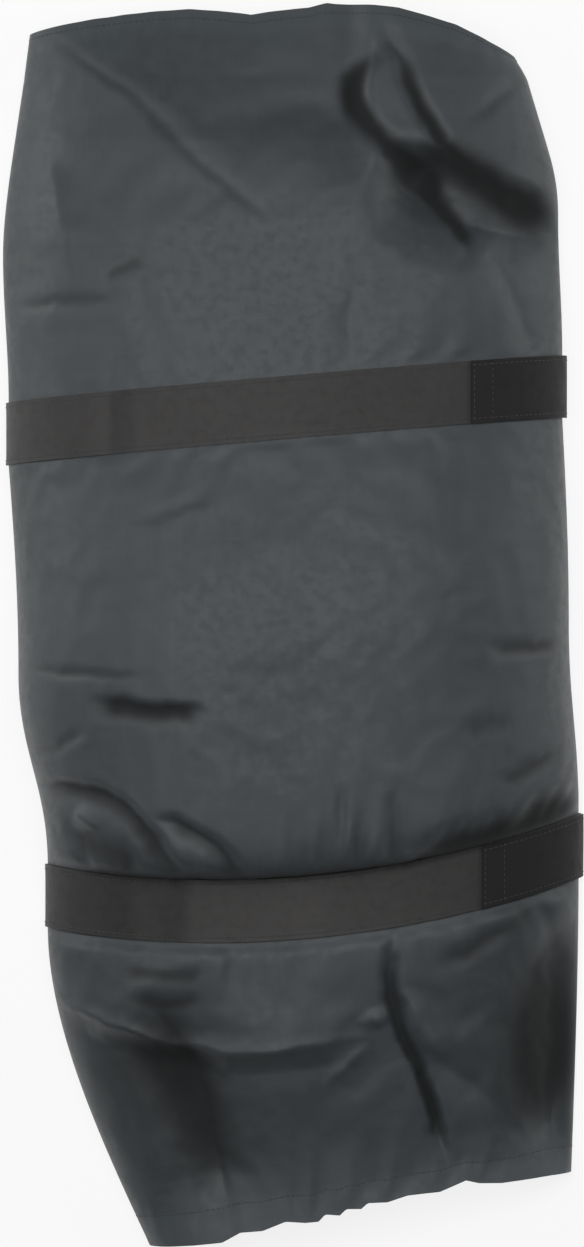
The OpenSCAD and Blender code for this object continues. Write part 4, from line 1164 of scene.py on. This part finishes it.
def mouldedTeeth():
    material, tree, shader = newMaterial("mouldedTeeth")
    rub = noiseNode(tree, objectPlace(tree), 420.0, 3.0, 0.6)
    rubbed = tuple(2.2 * c for c in hardParts["teethColour"])
    colour = mixColour(tree, mapRange(tree, rub, 0.5, 0.75, 0.0, 1.0), hardParts["teethColour"], rubbed)
    feed(tree, shader.inputs["Base Color"], colour)
    feed(tree, shader.inputs["Roughness"], mapRange(tree, rub, 0.35, 0.7, *hardParts["teethRough"]))
    return material


def wornNickel():
    material, tree, shader = newMaterial("wornNickel")
    place = objectPlace(tree)
    cloud = noiseNode(tree, place, 240.0, 4.0, 0.6)
    scratch = noiseNode(tree, scaledVector(tree, place, (300, 1800, 1800)), 1.0, 2.0, 0.6)
    wear = mapRange(tree, cloud, 0.56, 0.72, 0.0, 0.8)
    rough = mathNode(tree, "MULTIPLY_ADD", scratch, 0.6, mathNode(tree, "MULTIPLY", cloud, 0.5))
    feed(tree, shader.inputs["Base Color"], mixColour(tree, wear, hardParts["nickel"], hardParts["worn"]))
    feed(tree, shader.inputs["Roughness"], mapRange(tree, rough, 0.35, 0.8, *hardParts["nickelRough"]))
    shader.inputs["Metallic"].default_value = 1.0
    return material


def finishNode(node, material):
    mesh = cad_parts[node].data
    mesh.materials.clear()
    mesh.materials.append(material)


teethFinish, nickelFinish = mouldedTeeth(), wornNickel()
for zipName in ("outer_zip", "inner_zip"):
    for part in ("upper_teeth", "lower_teeth"):
        finishNode(f"{zipName}_{part}", teethFinish)
    for part in ("stops", "slider", "pull"):
        finishNode(f"{zipName}_{part}", nickelFinish)

# stitches along the bands, the laps, the hem, the hood's edge and the zip slots
stitching = {"pitch": 3.4, "length": 2.6, "thickness": 0.6, "hemPlace": 0.0848, "hoodPlace": 8.87,
             "slotMargin": 3, "colour": (0.03, 0.03, 0.031), "rough": 0.55, "segments": 6, "rings": 4}


def buildStitchRows():    # turns edge chains into rows of rounded stitches that lie along them
    tree = bpy.data.node_groups.new("stitchRows", "GeometryNodeTree")
    for label, kind in (("Rows", "Geometry"), ("Pitch", "Float"), ("Stitch length", "Float"),
                        ("Thread thickness", "Float"), ("Thread", "Material")):
        tree.interface.new_socket(label, in_out="INPUT", socket_type="NodeSocket" + kind)
    tree.interface.new_socket("Stitches", in_out="OUTPUT", socket_type="NodeSocketGeometry")
    add, link = tree.nodes.new, tree.links.new
    given, made = add("NodeGroupInput"), add("NodeGroupOutput")
    chain, even = add("GeometryNodeMeshToCurve"), add("GeometryNodeResampleCurve")
    even.mode = "LENGTH"
    link(given.outputs["Rows"], chain.inputs[0])
    link(chain.outputs[0], even.inputs["Curve"])
    link(given.outputs["Pitch"], even.inputs["Length"])
    bead, size = add("GeometryNodeMeshUVSphere"), add("ShaderNodeCombineXYZ")
    for label, value in (("Segments", stitching["segments"]), ("Rings", stitching["rings"]), ("Radius", 0.5)):
        bead.inputs[label].default_value = value
    for source, axis in (("Stitch length", 0), ("Thread thickness", 1), ("Thread thickness", 2)):
        link(given.outputs[source], size.inputs[axis])
    along, upright = add("FunctionNodeAlignRotationToVector"), add("FunctionNodeAlignRotationToVector")
    along.axis, upright.axis, upright.pivot_axis = "X", "Z", "X"
    tangent, outward = add("GeometryNodeInputTangent"), add("GeometryNodeInputNamedAttribute")
    outward.data_type = "FLOAT_VECTOR"
    outward.inputs["Name"].default_value = "outward"
    link(tangent.outputs[0], along.inputs["Vector"])
    link(along.outputs[0], upright.inputs["Rotation"])
    link(outward.outputs[0], upright.inputs["Vector"])
    place = add("GeometryNodeInstanceOnPoints")
    for source, label in ((even.outputs[0], "Points"), (bead.outputs["Mesh"], "Instance"),
                          (upright.outputs[0], "Rotation"), (size.outputs[0], "Scale")):
        link(source, place.inputs[label])
    real, smooth = add("GeometryNodeRealizeInstances"), add("GeometryNodeSetShadeSmooth")
    paint = add("GeometryNodeSetMaterial")
    link(place.outputs[0], real.inputs[0])
    link(real.outputs[0], smooth.inputs[0])
    link(smooth.outputs[0], paint.inputs["Geometry"])
    link(given.outputs["Thread"], paint.inputs["Material"])
    link(paint.outputs[0], made.inputs["Stitches"])
    return tree


def threadMaterial():
    material, tree, shader = newMaterial("sewingThread")
    dark, light = [tuple(shade * c for c in stitching["colour"]) for shade in (0.6, 1.5)]
    fibres = noiseNode(tree, objectPlace(tree), 900.0, 2.0)
    feed(tree, shader.inputs["Base Color"], mixColour(tree, fibres, dark, light))
    shader.inputs["Roughness"].default_value = stitching["rough"]
    return material


def stitchRows():
    rows = []    # points, outward directions, closed or not
    for grid in (lowerGrid, upperGrid):
        out = gridNormals(grid, True)
        rows += [(grid[k], out[k], True) for k in (1, -2)]
    for grid in (lowerLap, upperLap):
        out = gridNormals(grid)
        rows += [(grid[k, 1:-3], out[k, 1:-3], False) for k in (1, -2)]
        rows += [(grid[1:-1, k], out[1:-1, k], False) for k in (1, 8)]
    out = gridNormals(frontGrid)
    for place in (stitching["hemPlace"], stitching["hoodPlace"]):
        k = rowOf(place)
        rows.append((frontGrid[k, 3:-3], out[k, 3:-3], False))
    slot = roundedSlot(stitching["slotMargin"])
    out = np.tile([0.0, 1.0, 0.0], (len(slot), 1))
    for station in (7, 8):
        y = np.full(len(slot), ribTable[station, 1] - bagMiddle[1])
        rows.append((np.stack([slot[:, 0], y, slot[:, 1]], -1), out, True))
    return rows


def stitchLines():
    points, outwards, edges = [], [], []
    for row, out, closed in stitchRows():
        first, count = len(points), len(row)
        points += (row * mm).tolist()
        outwards += out.tolist()
        edges += [(first + i, first + i + 1) for i in range(count - 1)]
        edges += [(first + count - 1, first)] if closed else []
    mesh = bpy.data.meshes.new("stitchLines")
    mesh.from_pydata(points, edges, [])
    outward = mesh.attributes.new("outward", "FLOAT_VECTOR", "POINT")
    outward.data.foreach_set("vector", np.array(outwards).ravel())
    lines = bpy.data.objects.new("stitchLines", mesh)
    bpy.context.scene.collection.objects.link(lines)
    return lines


def sewStitches():
    lines = stitchLines()
    tree = buildStitchRows()
    modifier = lines.modifiers.new("stitches", "NODES")
    modifier.node_group = tree
    values = {"Pitch": stitching["pitch"] * mm, "Stitch length": stitching["length"] * mm,
              "Thread thickness": stitching["thickness"] * mm, "Thread": threadMaterial()}
    for socket in tree.interface.items_tree:
        if socket.in_out == "INPUT" and socket.name in values:
            modifier[socket.identifier] = values[socket.name]
    bpy.context.view_layer.update()
    graph = bpy.context.evaluated_depsgraph_get()
    mesh = bpy.data.meshes.new_from_object(lines.evaluated_get(graph), depsgraph=graph)
    mesh.name = "stitches"
    sewn = bpy.data.objects.new("stitches", mesh)
    bpy.context.scene.collection.objects.link(sewn)
    bpy.data.objects.remove(lines)
    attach(sewn, "bag")
    print("stitches:", len(sewn.data.polygons), "faces")


sewStitches()

# camera straight above, as far off as frames the whole bag
photoView = {"lens": 200, "sensor": 36, "frameHeight": 0.7663, "farthest": 30}
camera = bpy.data.cameras.new("camera")
camera.lens = photoView["lens"]
camera.sensor_width = photoView["sensor"]
camera.clip_end = photoView["farthest"]
eye = bpy.data.objects.new("camera", camera)
eye.location = (0, 0, photoView["frameHeight"] * photoView["lens"] / photoView["sensor"])
bpy.context.scene.collection.objects.link(eye)
bpy.context.scene.camera = eye

studio = {"keyPower": 19.5, "keySize": (1.7, 0.8), "keyPlace": (-0.1, 0.27, 1.6), "sky": 0.1,
          "sidePower": (13, 9), "sideSize": (0.6, 1.2), "sidePlace": ((-1.6, 0.6, 0.42), (1.6, 0.6, 0.5)),
          "floorHalf": 40, "floorGrey": 0.86, "floorRough": 0.9, "floorGlow": 0.85}


def softLamp(name, power, size, place):
    lamp = bpy.data.lights.new(name, "AREA")
    lamp.energy, lamp.shape = power, "RECTANGLE"
    lamp.size, lamp.size_y = size
    holder = bpy.data.objects.new(name, lamp)
    holder.location = place
    holder.rotation_euler = (-Vector(place)).to_track_quat("-Z", "Y").to_euler()
    bpy.context.scene.collection.objects.link(holder)


softLamp("keyLamp", studio["keyPower"], studio["keySize"], studio["keyPlace"])
for side, power, place in zip(("left", "right"), studio["sidePower"], studio["sidePlace"]):
    softLamp(side + "Lamp", power, studio["sideSize"], place)
world = bpy.data.worlds.new("studioSky")
bpy.context.scene.world = world
world.use_nodes = True
sky = world.node_tree.nodes["Background"]
sky.inputs["Strength"].default_value = studio["sky"]
sky.inputs["Color"].default_value = (1, 1, 1, 1)


def paleFloor():    # a grey floor that the camera sees as white
    material, tree, shader = newMaterial("paleFloor")
    shader.inputs["Base Color"].default_value = (studio["floorGrey"],) * 3 + (1,)
    shader.inputs["Roughness"].default_value = studio["floorRough"]
    path = tree.nodes.new("ShaderNodeLightPath").outputs
    seen = mathNode(tree, "MAXIMUM", path["Is Glossy Ray"], path["Is Transmission Ray"])
    seen = mathNode(tree, "MAXIMUM", path["Is Camera Ray"], seen)
    glow, mix = tree.nodes.new("ShaderNodeEmission"), tree.nodes.new("ShaderNodeMixShader")
    sources = (mathNode(tree, "MULTIPLY", seen, studio["floorGlow"]), shader.outputs[0], glow.outputs[0])
    for socket, source in zip(mix.inputs, sources):
        feed(tree, socket, source)
    feed(tree, tree.nodes["Material Output"].inputs[0], mix.outputs[0])
    return material


floorMesh = bpy.data.meshes.new("floor")
half = studio["floorHalf"]
floorCorners = [(-half, -half, 0), (half, -half, 0), (half, half, 0), (-half, half, 0)]
floorMesh.from_pydata(floorCorners, [], [(0, 1, 2, 3)])
floorMesh.materials.append(paleFloor())
floor = bpy.data.objects.new("floor", floorMesh)
bpy.context.scene.collection.objects.link(floor)

bpy.context.scene.view_settings.view_transform = "Standard"
bpy.context.view_layer.update()
